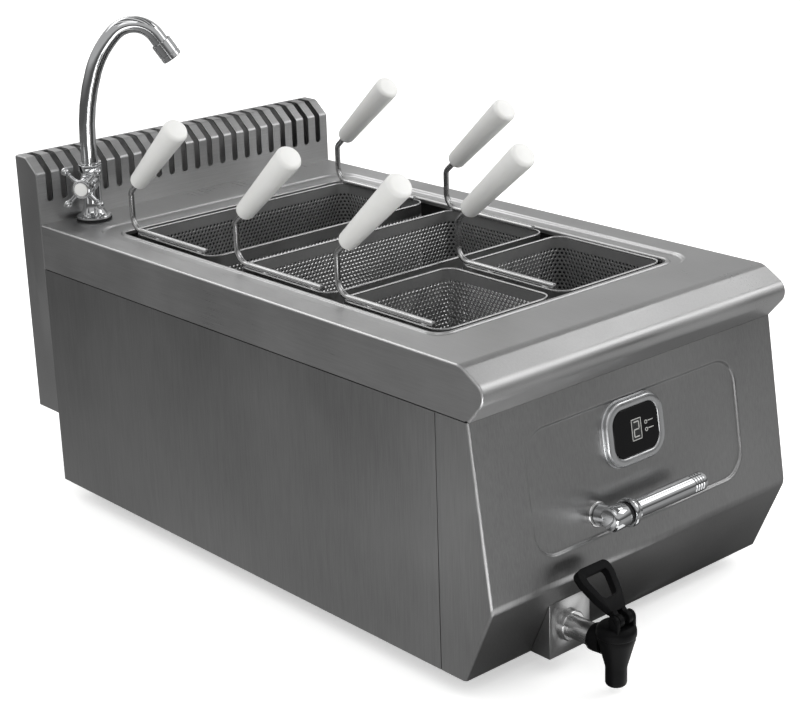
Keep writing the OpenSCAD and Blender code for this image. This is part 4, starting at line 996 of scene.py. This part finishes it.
class COOKER_OT_handles(bpy.types.Operator):
    """Bends the baskets' rods, welds them on and turns their grips"""

    bl_idname = "cooker.handles"
    bl_label = "Basket handles"

    # Height of a rod's knee above the rim, the rod's place behind the basket, and its two bends
    rise, back, bend, knee = 38 * MM, 4 * MM, 15 * MM, 8 * MM
    # The rod's front end, from the basket's front, and its gap to the basket's side
    front, gap = 14 * MM, 0.07 * MM
    rod_end = 0.5 * MM
    # A grip's rise above level, and the lengths of rod below it and inside it
    tilt = radians(41)
    bare, inside = 13.6 * MM, 57 * MM
    # The rounds at a grip's lower and upper end, the flat round the rod and the crown on top
    low_round, high_round, flat, crown = 7 * MM, 4.5 * MM, 0.4 * MM, 0.8 * MM
    # Places of the weld beads as shares of the basket's depth, from its middle
    welds = (-0.32, 0.2)
    # The beads' half sizes in millimetres, and how much their middles swell
    bead_size, bead_swell = (1.3, 4.5, 1.1), (1.15, 1, 1.2)
    # The beads' places beside the rod and below the rim, and half the length of their middles
    bead_out, bead_drop, bead_middle = 2.1 * MM, 0.2 * MM, 2 * MM

    def execute(self, context):
        s = context.scene.cooker_sizes
        for basket, rod, grip, sides in (
            ("basket_rear", "rods_rear", "grips_rear", (-1, 1)),
            ("basket_middle", "rods_middle", "grips_middle", (-1, 1)),
            ("basket_front_left", "rod_front_left", "grip_front_left", (-1,)),
            ("basket_front_right", "rod_front_right", "grip_front_right", (-1,)),
        ):
            low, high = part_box(basket)
            rods = [self.rod(s, low, high, side) for side in sides]
            settle(join(*rods), rod + "_bent", basket, "bright_steel", "drawn_steel", rod, smooth=50)
            grips = [self.grip(s, low, high, side) for side in sides]
            settle(join(*grips), grip + "_turned", basket, "white_plastic", "polypropylene_white", grip,
                   smooth=50)
        return {"FINISHED"}

    def lie(self, s, low, high, side):
        """Where a rod lies: its X, its height, and the Y of its upright."""
        inset = BASKET_SHEET + s.rod / 2 + self.gap
        x = (low.x + inset) if side < 0 else (high.x - inset)
        return x, high.z + s.rod / 3, high.y + self.back

    def knee_bend(self, x, y, rim):
        """Points of a rod's knee, where it turns from its upright to the grip's lean."""
        turn = arc((y - self.knee, rim + self.rise), self.knee, 0, pi / 2 - self.tilt, 8)
        return [spot + Vector((x, 0, 0)) for spot in turn]

    def heading(self):
        """The way a grip points: forward and up."""
        return Vector((0, -cos(self.tilt), sin(self.tilt)))

    def rod(self, s, low, high, side):
        """A bent rod with the two beads that weld it to the basket's rim."""
        x, z, y = self.lie(s, low, high, side)
        path = [Vector((x, low.y + self.front + step, z)) for step in (0, 1 * MM)]
        lower = arc((y - self.bend, z + self.bend), self.bend, -pi / 2, 0, 10)
        path += [spot + Vector((x, 0, 0)) for spot in lower]
        path += self.knee_bend(x, y, high.z)
        path.append(path[-1] + self.heading() * (self.bare + self.inside))
        piece = tube(path, s.rod / 2, 20)
        round_edges(piece, self.rod_end, 60)
        deep, mid = high.y - low.y, (low.y + high.y) / 2
        beads = [self.bead((x + side * self.bead_out, mid + share * deep, high.z - self.bead_drop))
                 for share in self.welds]
        return join(piece, *beads)

    def bead(self, spot):
        """One weld bead, long and fuller in its middle."""
        deselect()
        bpy.ops.mesh.primitive_uv_sphere_add(segments=12, ring_count=8, radius=1 * MM)
        piece = bpy.context.object
        bpy.ops.object.mode_set(mode="EDIT")
        bpy.ops.transform.resize(value=self.bead_size, center_override=(0, 0, 0))
        pick("VERT", lambda v: abs(v.co.y) < self.bead_middle)
        bpy.ops.transform.resize(value=self.bead_swell, center_override=(0, 0, 0))
        place(piece, Matrix.Translation(spot))
        return piece

    def grip(self, s, low, high, side):
        """A tapered grip, rounded at both ends."""
        x, _, y = self.lie(s, low, high, side)
        thin, thick, tall = s.grip_low / 2, s.grip_high / 2, s.grip_length
        e1, e2 = self.low_round, self.high_round
        profile = [(0, 0), (s.rod / 2 + self.flat, 0)]
        profile += [(thin - e1 + e1 * sin(a), e1 - e1 * cos(a)) for a in (i * pi / 16 for i in range(8))]
        lean = atan2(thick - thin, tall - e1 - e2)
        profile += [(thick - e2 + e2 * cos(a), tall - self.crown - e2 + e2 * sin(a))
                    for a in (i * (pi / 2 + lean) / 8 - lean for i in range(9))]
        profile += [((thick - e2) / 2, tall - self.crown / 4), (0, tall)]
        piece = lathe(profile, 40)
        knee_end = self.knee_bend(x, y, high.z)[-1]
        place(piece, along(knee_end + self.heading() * self.bare, self.heading()))
        return piece


class COOKER_OT_faucet(bpy.types.Operator):
    """Turns the faucet's body, bends its spout and builds its cross handle"""

    bl_idname = "cooker.faucet"
    bl_label = "Faucet"

    # The ways the spout and the handle point, from +X towards +Y
    spout_way = radians(-35)
    handle_way = radians(220)
    handle_rise = 39
    # The spout's lower end, the start of its bends, its straight tail and its radius, in millimetres
    spout_low, bends_low, tail, spout_radius = 52, 83, 8, 8.75
    # Radius in millimetres and turn in degrees of the spout's bends, from the bottom up
    bends = ((228, 19), (101, 26), (28, 102))

    def execute(self, context):
        low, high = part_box("faucet_seal")
        stand = Matrix.Translation(((low.x + high.x) / 2, (low.y + high.y) / 2, high.z))
        handle_out = (cos(self.handle_way), sin(self.handle_way), 0)
        handle = along(stand @ mm(0, 0, self.handle_rise), handle_out)
        column = turned(stand, (0, 0), (18, 0), (18.5, 0.5), (18.5, 2.3), (17.9, 3), (15.8, 3.5),
                        (13.9, 4.9), (12.4, 7.4), (11, 10.6), (10.2, 14), (10, 17), (10, 43.6),
                        (10.6, 44.3), (10.6, 47.6), (10, 48.3), (9.6, 50), (0, 50))
        boss = turned(handle, (0, 2), (10, 2), (10, 13.6), (9.2, 15), (0, 15))
        settle(join(column, boss), "faucet_column", "casing", "chrome", "chrome_plate", "faucet_body",
               smooth=30)
        headwork = turned(handle, (0, 15), (7.8, 15), (8.5, 15.8), (8.5, 19), (7.9, 20), (7, 20.8),
                          (6.7, 23.5), (7, 26), (0, 26))
        settle(headwork, "faucet_headwork_turned", "casing", "chrome", "chrome_plate", "faucet_headwork",
               smooth=30)
        nut = hex_nut(stand @ Matrix.Translation(mm(0, 0, 50)), 22, 8)
        ring = turned(stand, (8.9, 57.8), (10.4, 57.8), (10.4, 59.2), (9.8, 60), (8.9, 60))
        settle(join(nut, ring), "spout_nut_cut", "casing", "chrome", "chrome_plate", "spout_nut", smooth=30)
        self.spout(stand)
        self.cross(handle)
        return {"FINISHED"}

    def spout(self, stand):
        """The swan neck: three bends in one upright plane, a short straight tail and the aerator."""
        out = Vector((cos(self.spout_way), sin(self.spout_way), 0))
        spot, heading = mm(0, self.bends_low), pi / 2
        path = [mm(0, self.spout_low), spot.copy()]
        for radius, turn in self.bends:
            centre = spot + Vector((sin(heading), -cos(heading))) * radius * MM
            steps = turn // 4
            for i in range(1, steps + 1):
                now = heading - radians(turn) * i / steps
                path.append(centre - Vector((sin(now), -cos(now))) * radius * MM)
            spot, heading = path[-1], heading - radians(turn)
        aim = Vector((cos(heading), sin(heading)))
        path.append(spot + aim * self.tail * MM)
        route = [stand @ (out * a + Vector((0, 0, z))) for a, z in path]
        neck = tube(route, self.spout_radius * MM, 32)
        settle(neck, "spout_neck", "spout", "chrome", "chrome_plate", "faucet_spout", smooth=50)
        end = along(route[-1], out * aim.x + Vector((0, 0, aim.y)))
        aerator = turned(end, (8.4, 0), (10.3, 0), (11, 0.7), (11, 14.4), (10.5, 14.9), (10.5, 15.7),
                         (11, 16.2), (11, 20.2), (10.3, 21), (8.4, 21), (8.2, 18.6), (0, 18.6))
        settle(aerator, "aerator_turned", "spout", "chrome", "chrome_plate", "aerator", smooth=30)

    def cross(self, handle):
        """The hub, its four arms with ball ends, and the index cap."""
        hub = turned(handle, (0, 26.3), (6.2, 26.3), (7.4, 27), (8, 28.4), (8, 32.6), (7.5, 34.2),
                     (6.8, 35), (0, 35))
        # The balls' distance from the hub's axis, their radius, and the arms' height on the hub
        reach, ball, arm_rise = 25, 4.5, 30.5
        turns = [radians(-58) + i * radians(148) / 10 for i in range(11)]
        ball_end = [(ball * cos(turn), reach + ball * sin(turn)) for turn in turns]
        arm = turned(Matrix.Rotation(pi / 2, 4, "Y"), (0, 6), (2.7, 6), (2.7, 8.6), (3.4, 9.2), (3.4, 10.2),
                     (2.7, 10.9), (2.2, 18.6), (3.1, 19.3), (3.1, 20.3), *ball_end, steps=24)
        root = handle @ Matrix.Translation(mm(0, 0, arm_rise))
        arms = repeated(arm, [root @ Matrix.Rotation(radians(45 + 90 * i), 4, "Z") for i in range(4)])
        settle(join(hub, arms), "cross_handle", "faucet_handle", "chrome", "chrome_plate", "faucet_handle",
               smooth=35)
        cap = turned(handle, (0, 35), (9.2, 35), (10, 35.8), (10, 37), (9.7, 37.7), (9, 38), (8.2, 37.8),
                     (7.7, 37.2), (7.4, 36.6), (0, 36.6))
        settle(cap, "index_cap", "faucet_handle", "chrome", "chrome_plate", "handle_cap", smooth=30)
        disc = turned(handle, (0, 36.4), (7.2, 36.4), (7.2, 36.8), (6.8, 37.2), (4, 37.6), (0, 37.8))
        settle(disc, "index_disc", "faucet_handle", "white_plastic", "polypropylene_white")


class COOKER_OT_controller(bpy.types.Operator):
    """Builds the controller's chromed bezel, its window and the print on it"""

    bl_idname = "cooker.controller"
    bl_label = "Controller"

    # The window's middle on the panel, and how far its glass stands out
    x, rise = -5 * MM, 109.5 * MM
    glass_out, glass_thick = 4 * MM, 3 * MM
    # Width, height and corner radius of the bezel and of the window
    bezel_size = (78 * MM, 63 * MM, 22.5 * MM)
    window_size = (58.8 * MM, 43.8 * MM, 12.9 * MM)
    # The screen behind the digit, and the corners of the printed bars
    screen_size, bar_corner = (12 * MM, 19 * MM, 0.3 * MM), 0.15 * MM
    # Thickness of the print and of the screen's film, in millimetres
    print_thick, film_thick = 0.03, 0.01

    def execute(self, context):
        depth = context.scene.cooker_sizes.field_depth
        bezel = new_plate(*self.bezel_size, on_panel(self.x, self.rise, depth), 12)
        crown = [(fall, reach) for reach, fall in quarter(2.6, 6)]
        press((0, 1.8), (0.5, 0.5), (0.7, 0), (0, 2.2), *crown, (1.8, 0.3), (1.8, -0.3),
              *quarter(2, 4, -1), (0, -1.6))
        bpy.ops.mesh.delete(type="FACE")
        deselect()
        settle(bezel, "bezel_ring", "casing", "chrome", "satin_chrome", "controller_bezel", smooth=40)
        back = on_panel(self.x, self.rise, self.glass_thick - self.glass_out)
        window = new_plate(*self.window_size, back, 12)
        press((0, 2.6), (0.4, 0.4))
        deselect()
        settle(window, "window", "casing", "black_glass", "acrylic_black", "controller_glass", smooth=30)
        self.markings()
        return {"FINISHED"}

    def markings(self):
        """A framed display with one digit, and two round marks with short lines."""
        # The frame's bars: place across and up, width and height in millimetres
        bars = [(-4.5, 119.6, 13, 0.8), (-4.5, 100.4, 13, 0.8), (-10.6, 110, 0.8, 20), (1.6, 110, 0.8, 20)]
        # Segments of a digit: top, upper right, middle, lower left, bottom
        bars += [(-4.5, 117, 6.5, 1.1), (-1.2, 113.6, 1.1, 6.4), (-4.5, 110, 6.5, 1.1),
                 (-7.8, 106.6, 1.1, 6.4), (-4.5, 103.2, 6.5, 1.1)]
        # Lines beside the two marks
        bars += [(14.2, 114.2, 7, 0.8), (14.4, 107.2, 7, 0.8)]
        thick = self.print_thick
        plates = []
        for x, rise, wide, tall in bars:
            plates.append(new_plate(wide * MM, tall * MM, self.bar_corner, self.on_glass(x, rise), 1))
            press((0, thick))
        for x, rise in ((8.2, 113.6), (8.4, 106.6)):
            plates.append(turned(self.on_glass(x, rise), (1.1, 0), (1.1, thick), (1.9, thick), (1.9, 0),
                                 steps=24))
        settle(join(*plates), "window_print", "casing", "white_plastic", "print_ink")
        screen = new_plate(*self.screen_size, self.on_glass(-4.5, 110), 2)
        press((0, self.film_thick))
        settle(screen, "window_screen", "casing", "black_glass", "display_grey")

    def on_glass(self, x, rise):
        """Frame on the window's face, at a place across and up the panel in millimetres."""
        return on_panel(x * MM, rise * MM, -self.glass_out)


class COOKER_OT_drain_lever(bpy.types.Operator):
    """Turns the drain lever's bush, shaft, hub and bar"""

    bl_idname = "cooker.drain_lever"
    bl_label = "Drain lever"

    # The shaft's place on the panel, and how far out the bar's axis lies
    x, rise, out = -62 * MM, 47 * MM, 22 * MM
    # The bar's radius and its grooves: how many, where they start, and their pitch, in millimetres
    bar, grooves, groove_start, groove_pitch = 9, 4, 98, 3.4
    # One groove: its cut into the bar and its way along it
    groove = ((0, 0), (0.8, 0.5), (0.8, 1.7), (0, 2.2))

    def execute(self, context):
        depth = context.scene.cooker_sizes.field_depth / MM
        root = on_panel(self.x, self.rise)
        bush = turned(root, (0, -depth), (12, -depth), (12, 1.2), (11.4, 2.1), (10.6, 2.5), (6.3, 2.5),
                      (6.3, 1))
        settle(bush, "lever_bush_turned", "casing", "bright_steel", "drawn_steel", "lever_bush", smooth=30)
        shaft = turned(root, (0, -1), (6, -1), (6, 3), (9, 3), (9.8, 3.8), (9.8, 15), (0, 15))
        settle(shaft, "lever_shaft_turned", "drain_lever", "chrome", "chrome_plate", "lever_shaft",
               smooth=30)
        cross = on_panel(self.x, self.rise, -self.out) @ Matrix.Rotation(pi / 2, 4, "Y")
        hub = turned(cross, (0, -9.5), (9, -9.5), (9.9, -9.1), (11.2, -7.7), (11.5, -7), (11.5, 8.2),
                     (11.1, 9.2), (10.4, 9.5), (0, 9.5))
        settle(hub, "lever_hub_turned", "drain_lever", "chrome", "chrome_plate", "lever_hub", smooth=30)
        starts = [self.groove_start + self.groove_pitch * i for i in range(self.grooves)]
        cuts = [(self.bar - cut, start + z) for start in starts for cut, z in self.groove]
        bar = turned(cross, (0, 9.5), (7, 9.5), (7, 13.5), (12, 13.5), (13.1, 13.9), (13.5, 14.8),
                     (13.5, 18.2), (13.1, 19.1), (12, 19.5), (9.4, 19.6), (8, 20), (7.5, 20.8), (7.5, 22.4),
                     (8, 23.8), (self.bar, 25.5), *cuts, (self.bar, 114.2), (8.6, 115.3), (7.6, 116),
                     (0, 116))
        settle(bar, "lever_bar_turned", "drain_lever", "chrome", "chrome_plate", "lever_bar", smooth=30)
        return {"FINISHED"}


class COOKER_OT_tap(bpy.types.Operator):
    """Moulds the tap's body, bonnet and lever, and dresses the outlet behind it"""

    bl_idname = "cooker.tap"
    bl_label = "Tap"

    # How far the tap's upright axis lies in front of the crease
    reach = 45 * MM
    # The lever's pin in front of that axis and above the floor, and the ears that hold it
    pin_front, pin_rise = 6.5 * MM, 74 * MM
    ear_round, ear_low, ear_thick = 6 * MM, 64 * MM, 3.6 * MM
    ears_from, ear_edge = (-11.9 * MM, 8.3 * MM), 0.8 * MM

    def execute(self, context):
        low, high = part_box("outlet_locknut")
        outlet = (low + high) / 2
        axis = Matrix.Translation((outlet.x, Y_CREASE - self.reach, 0))
        socket = along(axis @ Vector((0, 0, outlet.z)), (0, 1, 0))
        # The body is bored for the nozzle and opened above it into the chamber where the seat cup lifts
        body = turned(axis, (5.8, 50), (5.8, 8.6), (6.8, 8), (8.2, 8.3), (9.2, 9.3), (9.7, 10.8),
                      (9.7, 24.5), (10, 27), (16.2, 50), (16.9, 52.4), (17, 54), (17, 56), (11.5, 56),
                      (11.5, 50), (5.8, 50))
        neck = turned(socket, (5.5, 11.9), (12.4, 11.9), (12.8, 19), (13, 20), (13, 24.6), (12.4, 25.7),
                      (10.7, 26), (10.7, 20.9), (5.5, 20.9), (5.5, 11.9))
        nut = turned(socket, (10.7, 50.6), (13.4, 50.6), (14, 51), (14.5, 51.8), (14.5, 55.6), (10.7, 55.6),
                     (10.7, 50.6))
        settle(nut, "outlet_locknut_turned", "casing", "bright_steel", "drawn_steel", "outlet_locknut",
               smooth=30)
        settle(join(body, neck), "tap_body_moulded", "casing", "black_plastic", "nylon_black", "tap_body",
               smooth=40)
        bonnet = turned(axis, (11.5, 56), (17, 56), (17.7, 56.5), (18, 57.4), (18, 61.6), (17.6, 63.3),
                        (16.4, 65), (14.8, 66.4), (13.2, 67), (2.6, 67), (2.6, 61.5), (11.5, 61.5),
                        (11.5, 56))
        pin_y, lobe = axis.translation.y - self.pin_front, self.ear_round
        top = [spot.yz for spot in arc((pin_y, self.pin_rise), lobe, pi, 0, 12)]
        outline = [(pin_y - lobe, self.ear_low), *top, (pin_y + lobe, self.ear_low)]
        ears = [prism([(outlet.x + x, y, z) for y, z in outline], (self.ear_thick, 0, 0))
                for x in self.ears_from]
        for ear in ears:
            round_edges(ear, self.ear_edge, 50, 3)
        settle(join(bonnet, *ears), "tap_bonnet_moulded", "casing", "black_plastic", "nylon_black",
               "tap_bonnet", smooth=40)
        # The lever and the outlet's box keep their solids' shapes, with rounded edges
        for name, body, slot, finish, edge in (
            ("tap_lever", "tap_lever", "black_plastic", "nylon_black", 1.6),
            # The outlet's box takes the worktop's lighter steel: painted light on its face
            ("outlet_box", "casing", "casing_steel", "brushed_steel_worktop", 0.5),
        ):
            piece = copied(name)
            round_edges(piece, edge * MM, 35, 3)
            settle(piece, name + "_rounded", body, slot, finish, name, smooth=35)
        return {"FINISHED"}


class COOKER_OT_fittings(bpy.types.Operator):
    """Gives the CAD nodes that stay as they are their finishes"""

    bl_idname = "cooker.fittings"
    bl_label = "Fittings"

    finishes = {
        "brushed_steel_casing": ("base_plate", "feet", "rear_panel"),
        # The false bottom shares the well's finish and its painted shade
        "well_steel_painted_shade": ("false_bottom",),
        "drawn_steel": ("probes", "drain_pipe", "drain_spigot", "panel_screws", "valve_ball", "tap_stem",
                        "supply_tail"),
        "turned_brass": ("element_nuts", "valve_body", "faucet_back_nut"),
        "tarnished_heater": ("heating_elements",),
        "rubber_black": ("foot_pads", "faucet_seal", "lever_seal_ring"),
        "nylon_black": ("tap_pin", "controller_housing", "cable_gland"),
        "polypropylene_white": ("terminal_block",),
        "silicone_red": ("tap_seat",),
    }

    def execute(self, context):
        for finish, names in self.finishes.items():
            for name in names:
                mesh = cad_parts[name].data
                mesh.materials.clear()
                mesh.materials.append(bpy.data.materials[finish])
        return {"FINISHED"}


class COOKER_OT_stage(bpy.types.Operator):
    """Sets up the floor, the light and the camera"""

    bl_idname = "cooker.stage"
    bl_label = "Stage"

    floor_size, floor_glow = 14, 0.45
    # Strength of the world's light on the object, and where the world itself is seen
    world_light, world_seen = 0.95, 1.0

    # Grey ground on both sides of the left panel: name, X, distances from the object, levels there
    grounds = (
        ("left_ground_card", -3 - X_SIDE, (0.3, 1.2), (0.33, 0.16)),
        ("right_ground_card", 3 - X_SIDE, (0.31, 0.62), (0.04, 0.43)),
    )
    ground_size, ground_rise, patch_rise = 6, 1 * MM, 2 * MM
    # Patches on the ground that chrome and pressed edges pick up: name, X, Y, width, depth, turn in
    # degrees and level
    patches = (
        ("left_patch_card", -1.75, 0.5, 0.6, 0.6, 0, 0.8),
        ("fold_patch_card", -0.83, -0.88, 1.28, 0.4, 42, 3),
        ("edge_patch_card", -0.68, -1.36, 0.4, 0.4, 20, 7),
        ("far_patch_card", -1.3, -1.9, 0.8, 0.7, 0, 0.8),
        ("dark_patch_card", -0.1, -1.35, 0.7, 0.8, 0, 0.03),
        ("outlet_patch_card", -0.1, -0.45, 0.34, 0.14, 0, 1.3),
    )
    # A round wall, darker at its foot: radius, height, distances and levels
    wall_radius, wall_height = 3, 3.4
    wall_reach, wall_levels = (3.02, 3.2), (0.12, 0.6)
    # Strips overhead: name, X, width
    strips = (
        ("left_overhead_card", -1.8, 0.75),
        ("middle_overhead_card", -0.6, 0.75),
        ("right_overhead_card", 0.6, 0.75),
        ("far_overhead_card", 2.2, 2),
    )
    strip_rise, strip_length, strip_level = 3, 5, 0.18
    # Bright panels that draw the pressed edges of the ledge and the field: name, place, size, level
    panels = (
        ("ledge_card", (-0.5, 2.35, 2.62), (2.6, 1.3, 1), 2),
        ("field_card", (1.63, -1.35, 1.85), (1.1, 1.1, 1), 2.4),
    )
    panel_aim = (0, 0, 0.3)
    # Name, place, aim, size in metres and power in watts
    lamps = (
        ("key", (-1.6, -1.2, 2.6), (0, 0, 0.2), 1.6, 8),
        ("glint", (1.8, -0.3, 2.3), (0, -0.3, 0.3), 0.6, 2.8),
        ("back", (0.4, 2.4, 2.2), (0, 0.1, 0.3), 1.8, 6),
        ("fill", (1.9, -1.2, 1.2), (0, 0, 0.35), 1.5, 22),
    )
    # The photograph's viewing angle: place, turn in degrees, lens and sensor in millimetres
    camera_spot = (-1.19173, -1.36069, 0.83028)
    camera_turn = (70.8696, 1.7774, -41.7011)
    camera_lens, camera_sensor = 84.557, 36

    def execute(self, context):
        self.floor(context)
        self.world(context)
        self.cards()
        self.lights(context)
        self.camera(context)
        context.scene.view_settings.view_transform = "Standard"
        return {"FINISHED"}

    def shown(self, tree):
        """One for the rays that show the background: seen by the camera, reflected or through glass."""
        rays = node(tree, "LightPath").outputs
        shown = rays["Is Camera Ray"]
        for kind in ("Is Glossy Ray", "Is Transmission Ray"):
            shown = node(tree, "Math", {"operation": "MAXIMUM"}, {0: shown, 1: rays[kind]}).outputs[0]
        return shown

    def floor(self, context):
        """A pale floor that keeps the object's shadow."""
        deselect()
        bpy.ops.mesh.primitive_plane_add(size=self.floor_size)
        floor = context.object
        floor.name = "studio_floor"
        tree, shader = new_finish("studio_floor")
        lift = node(tree, "Math", {"operation": "MULTIPLY"}, {0: self.shown(tree), 1: self.floor_glow})
        shader.inputs["Base Color"].default_value = context.scene.cooker_finish.floor
        shader.inputs["Roughness"].default_value = 0.9
        shader.inputs["Specular IOR Level"].default_value = 0
        shader.inputs["Emission Color"].default_value = (1, 1, 1, 1)
        tree.links.new(lift.outputs[0], shader.inputs["Emission Strength"])
        floor.data.materials.append(bpy.data.materials["studio_floor"])

    def world(self, context):
        """A white surround."""
        world = bpy.data.worlds.new("studio")
        context.scene.world = world
        world.use_nodes = True
        tree = world.node_tree
        strength = node(tree, "MapRange", sockets={"Value": self.shown(tree), "To Min": self.world_light,
                                                   "To Max": self.world_seen})
        sky = tree.nodes["Background"]
        sky.inputs["Color"].default_value = (1, 1, 1, 1)
        tree.links.new(strength.outputs[0], sky.inputs["Strength"])

    def cards(self):
        """The surroundings that only reflections show: the ground, a wall, strips overhead and panels."""
        for name, x, reach, levels in self.grounds:
            bpy.ops.mesh.primitive_plane_add(size=self.ground_size, location=(x, 0, self.ground_rise))
            self.card(name, reach, levels)
        for name, x, y, wide, deep, turn, level in self.patches:
            bpy.ops.mesh.primitive_plane_add(size=1, location=(x, y, self.patch_rise),
                                             rotation=(0, 0, radians(turn)))
            bpy.ops.transform.resize(value=(wide, deep, 1), orient_type="LOCAL")
            self.card(name, (0, 1), (level, level))
        bpy.ops.mesh.primitive_cylinder_add(vertices=64, radius=self.wall_radius, depth=self.wall_height,
                                            end_fill_type="NOTHING", location=(0, 0, self.wall_height / 2))
        self.card("wall_card", self.wall_reach, self.wall_levels)
        for name, x, wide in self.strips:
            bpy.ops.mesh.primitive_plane_add(size=1, location=(x, 0, self.strip_rise))
            bpy.ops.transform.resize(value=(wide, self.strip_length, 1))
            self.card(name, (0, 1), (self.strip_level, self.strip_level))
        for name, spot, size, level in self.panels:
            turn = self.facing(spot, self.panel_aim)
            bpy.ops.mesh.primitive_plane_add(size=1, location=spot, rotation=turn)
            bpy.ops.transform.resize(value=size, orient_type="LOCAL")
            self.card(name, (0, 1), (level, level))

    def card(self, name, reach, levels):
        """Makes the new object a card that only reflections show, shaded by its distance from the middle."""
        piece = bpy.context.object
        bpy.ops.object.transform_apply(location=True, rotation=True, scale=True)
        piece.name = piece.data.name = name
        tree, shader = new_finish(name)
        where = node(tree, "TexCoord").outputs["Object"]
        away = node(tree, "VectorMath", {"operation": "LENGTH"}, {0: where}).outputs["Value"]
        glow = node(tree, "MapRange", sockets={"Value": away, "From Min": reach[0], "From Max": reach[1],
                                               "To Min": levels[0], "To Max": levels[1]}).outputs[0]
        light = node(tree, "Emission", sockets={"Color": (1, 1, 1, 1), "Strength": glow}).outputs[0]
        tree.links.new(light, tree.nodes["Material Output"].inputs["Surface"])
        tree.nodes.remove(shader)
        piece.data.materials.append(bpy.data.materials[name])
        for ray in ("camera", "diffuse", "transmission", "volume_scatter", "shadow"):
            setattr(piece, "visible_" + ray, False)

    def facing(self, spot, aim):
        """The turn of a lamp or a panel that faces a point."""
        return (Vector(aim) - Vector(spot)).to_track_quat("-Z", "Y").to_euler()

    def lights(self, context):
        """Soft lamps round the object."""
        for name, spot, aim, size, power in self.lamps:
            bpy.ops.object.light_add(type="AREA", location=spot)
            lamp = context.object
            lamp.name = name
            lamp.data.size = size
            lamp.data.energy = power
            lamp.rotation_euler = self.facing(spot, aim)
            # The fill lights plastics and print; metal shows the cards instead
            lamp.visible_glossy = name != "fill"

    def camera(self, context):
        """The camera at the photograph's viewing angle."""
        turn = [radians(angle) for angle in self.camera_turn]
        bpy.ops.object.camera_add(location=self.camera_spot, rotation=turn)
        camera = context.object
        camera.data.lens = self.camera_lens
        camera.data.sensor_width = self.camera_sensor
        camera.data.sensor_fit = "HORIZONTAL"
        context.scene.camera = camera


class COOKER_PT_pieces(bpy.types.Panel):
    """Lists the cooker's pieces in the sidebar"""

    bl_idname = "COOKER_PT_pieces"
    bl_label = "Pasta cooker"
    bl_space_type = "VIEW_3D"
    bl_region_type = "UI"
    bl_category = "Cooker"

    def draw(self, context):
        """One button for each operator."""
        for made in OPERATORS:
            self.layout.operator(made.bl_idname)


OPERATORS = (
    COOKER_OT_finishes,
    COOKER_OT_worktop,
    COOKER_OT_well,
    COOKER_OT_control_panel,
    COOKER_OT_side_panels,
    COOKER_OT_flue,
    COOKER_OT_baskets,
    COOKER_OT_handles,
    COOKER_OT_faucet,
    COOKER_OT_controller,
    COOKER_OT_drain_lever,
    COOKER_OT_tap,
    COOKER_OT_fittings,
    COOKER_OT_stage,
)
CLASSES = (CookerSizes, CookerFinish, *OPERATORS, COOKER_PT_pieces)


def register():
    """Registers the classes and gives each scene the cooker's settings."""
    for made in CLASSES:
        bpy.utils.register_class(made)
    bpy.types.Scene.cooker_sizes = PointerProperty(type=CookerSizes)
    bpy.types.Scene.cooker_finish = PointerProperty(type=CookerFinish)


def unregister():
    """Takes the settings and the classes away again."""
    del bpy.types.Scene.cooker_finish
    del bpy.types.Scene.cooker_sizes
    for made in reversed(CLASSES):
        bpy.utils.unregister_class(made)


def main():
    """Builds every piece and the stage."""
    register()
    for made in OPERATORS:
        group, name = made.bl_idname.split(".")
        getattr(getattr(bpy.ops, group), name)()


if __name__ == "__main__":
    main()
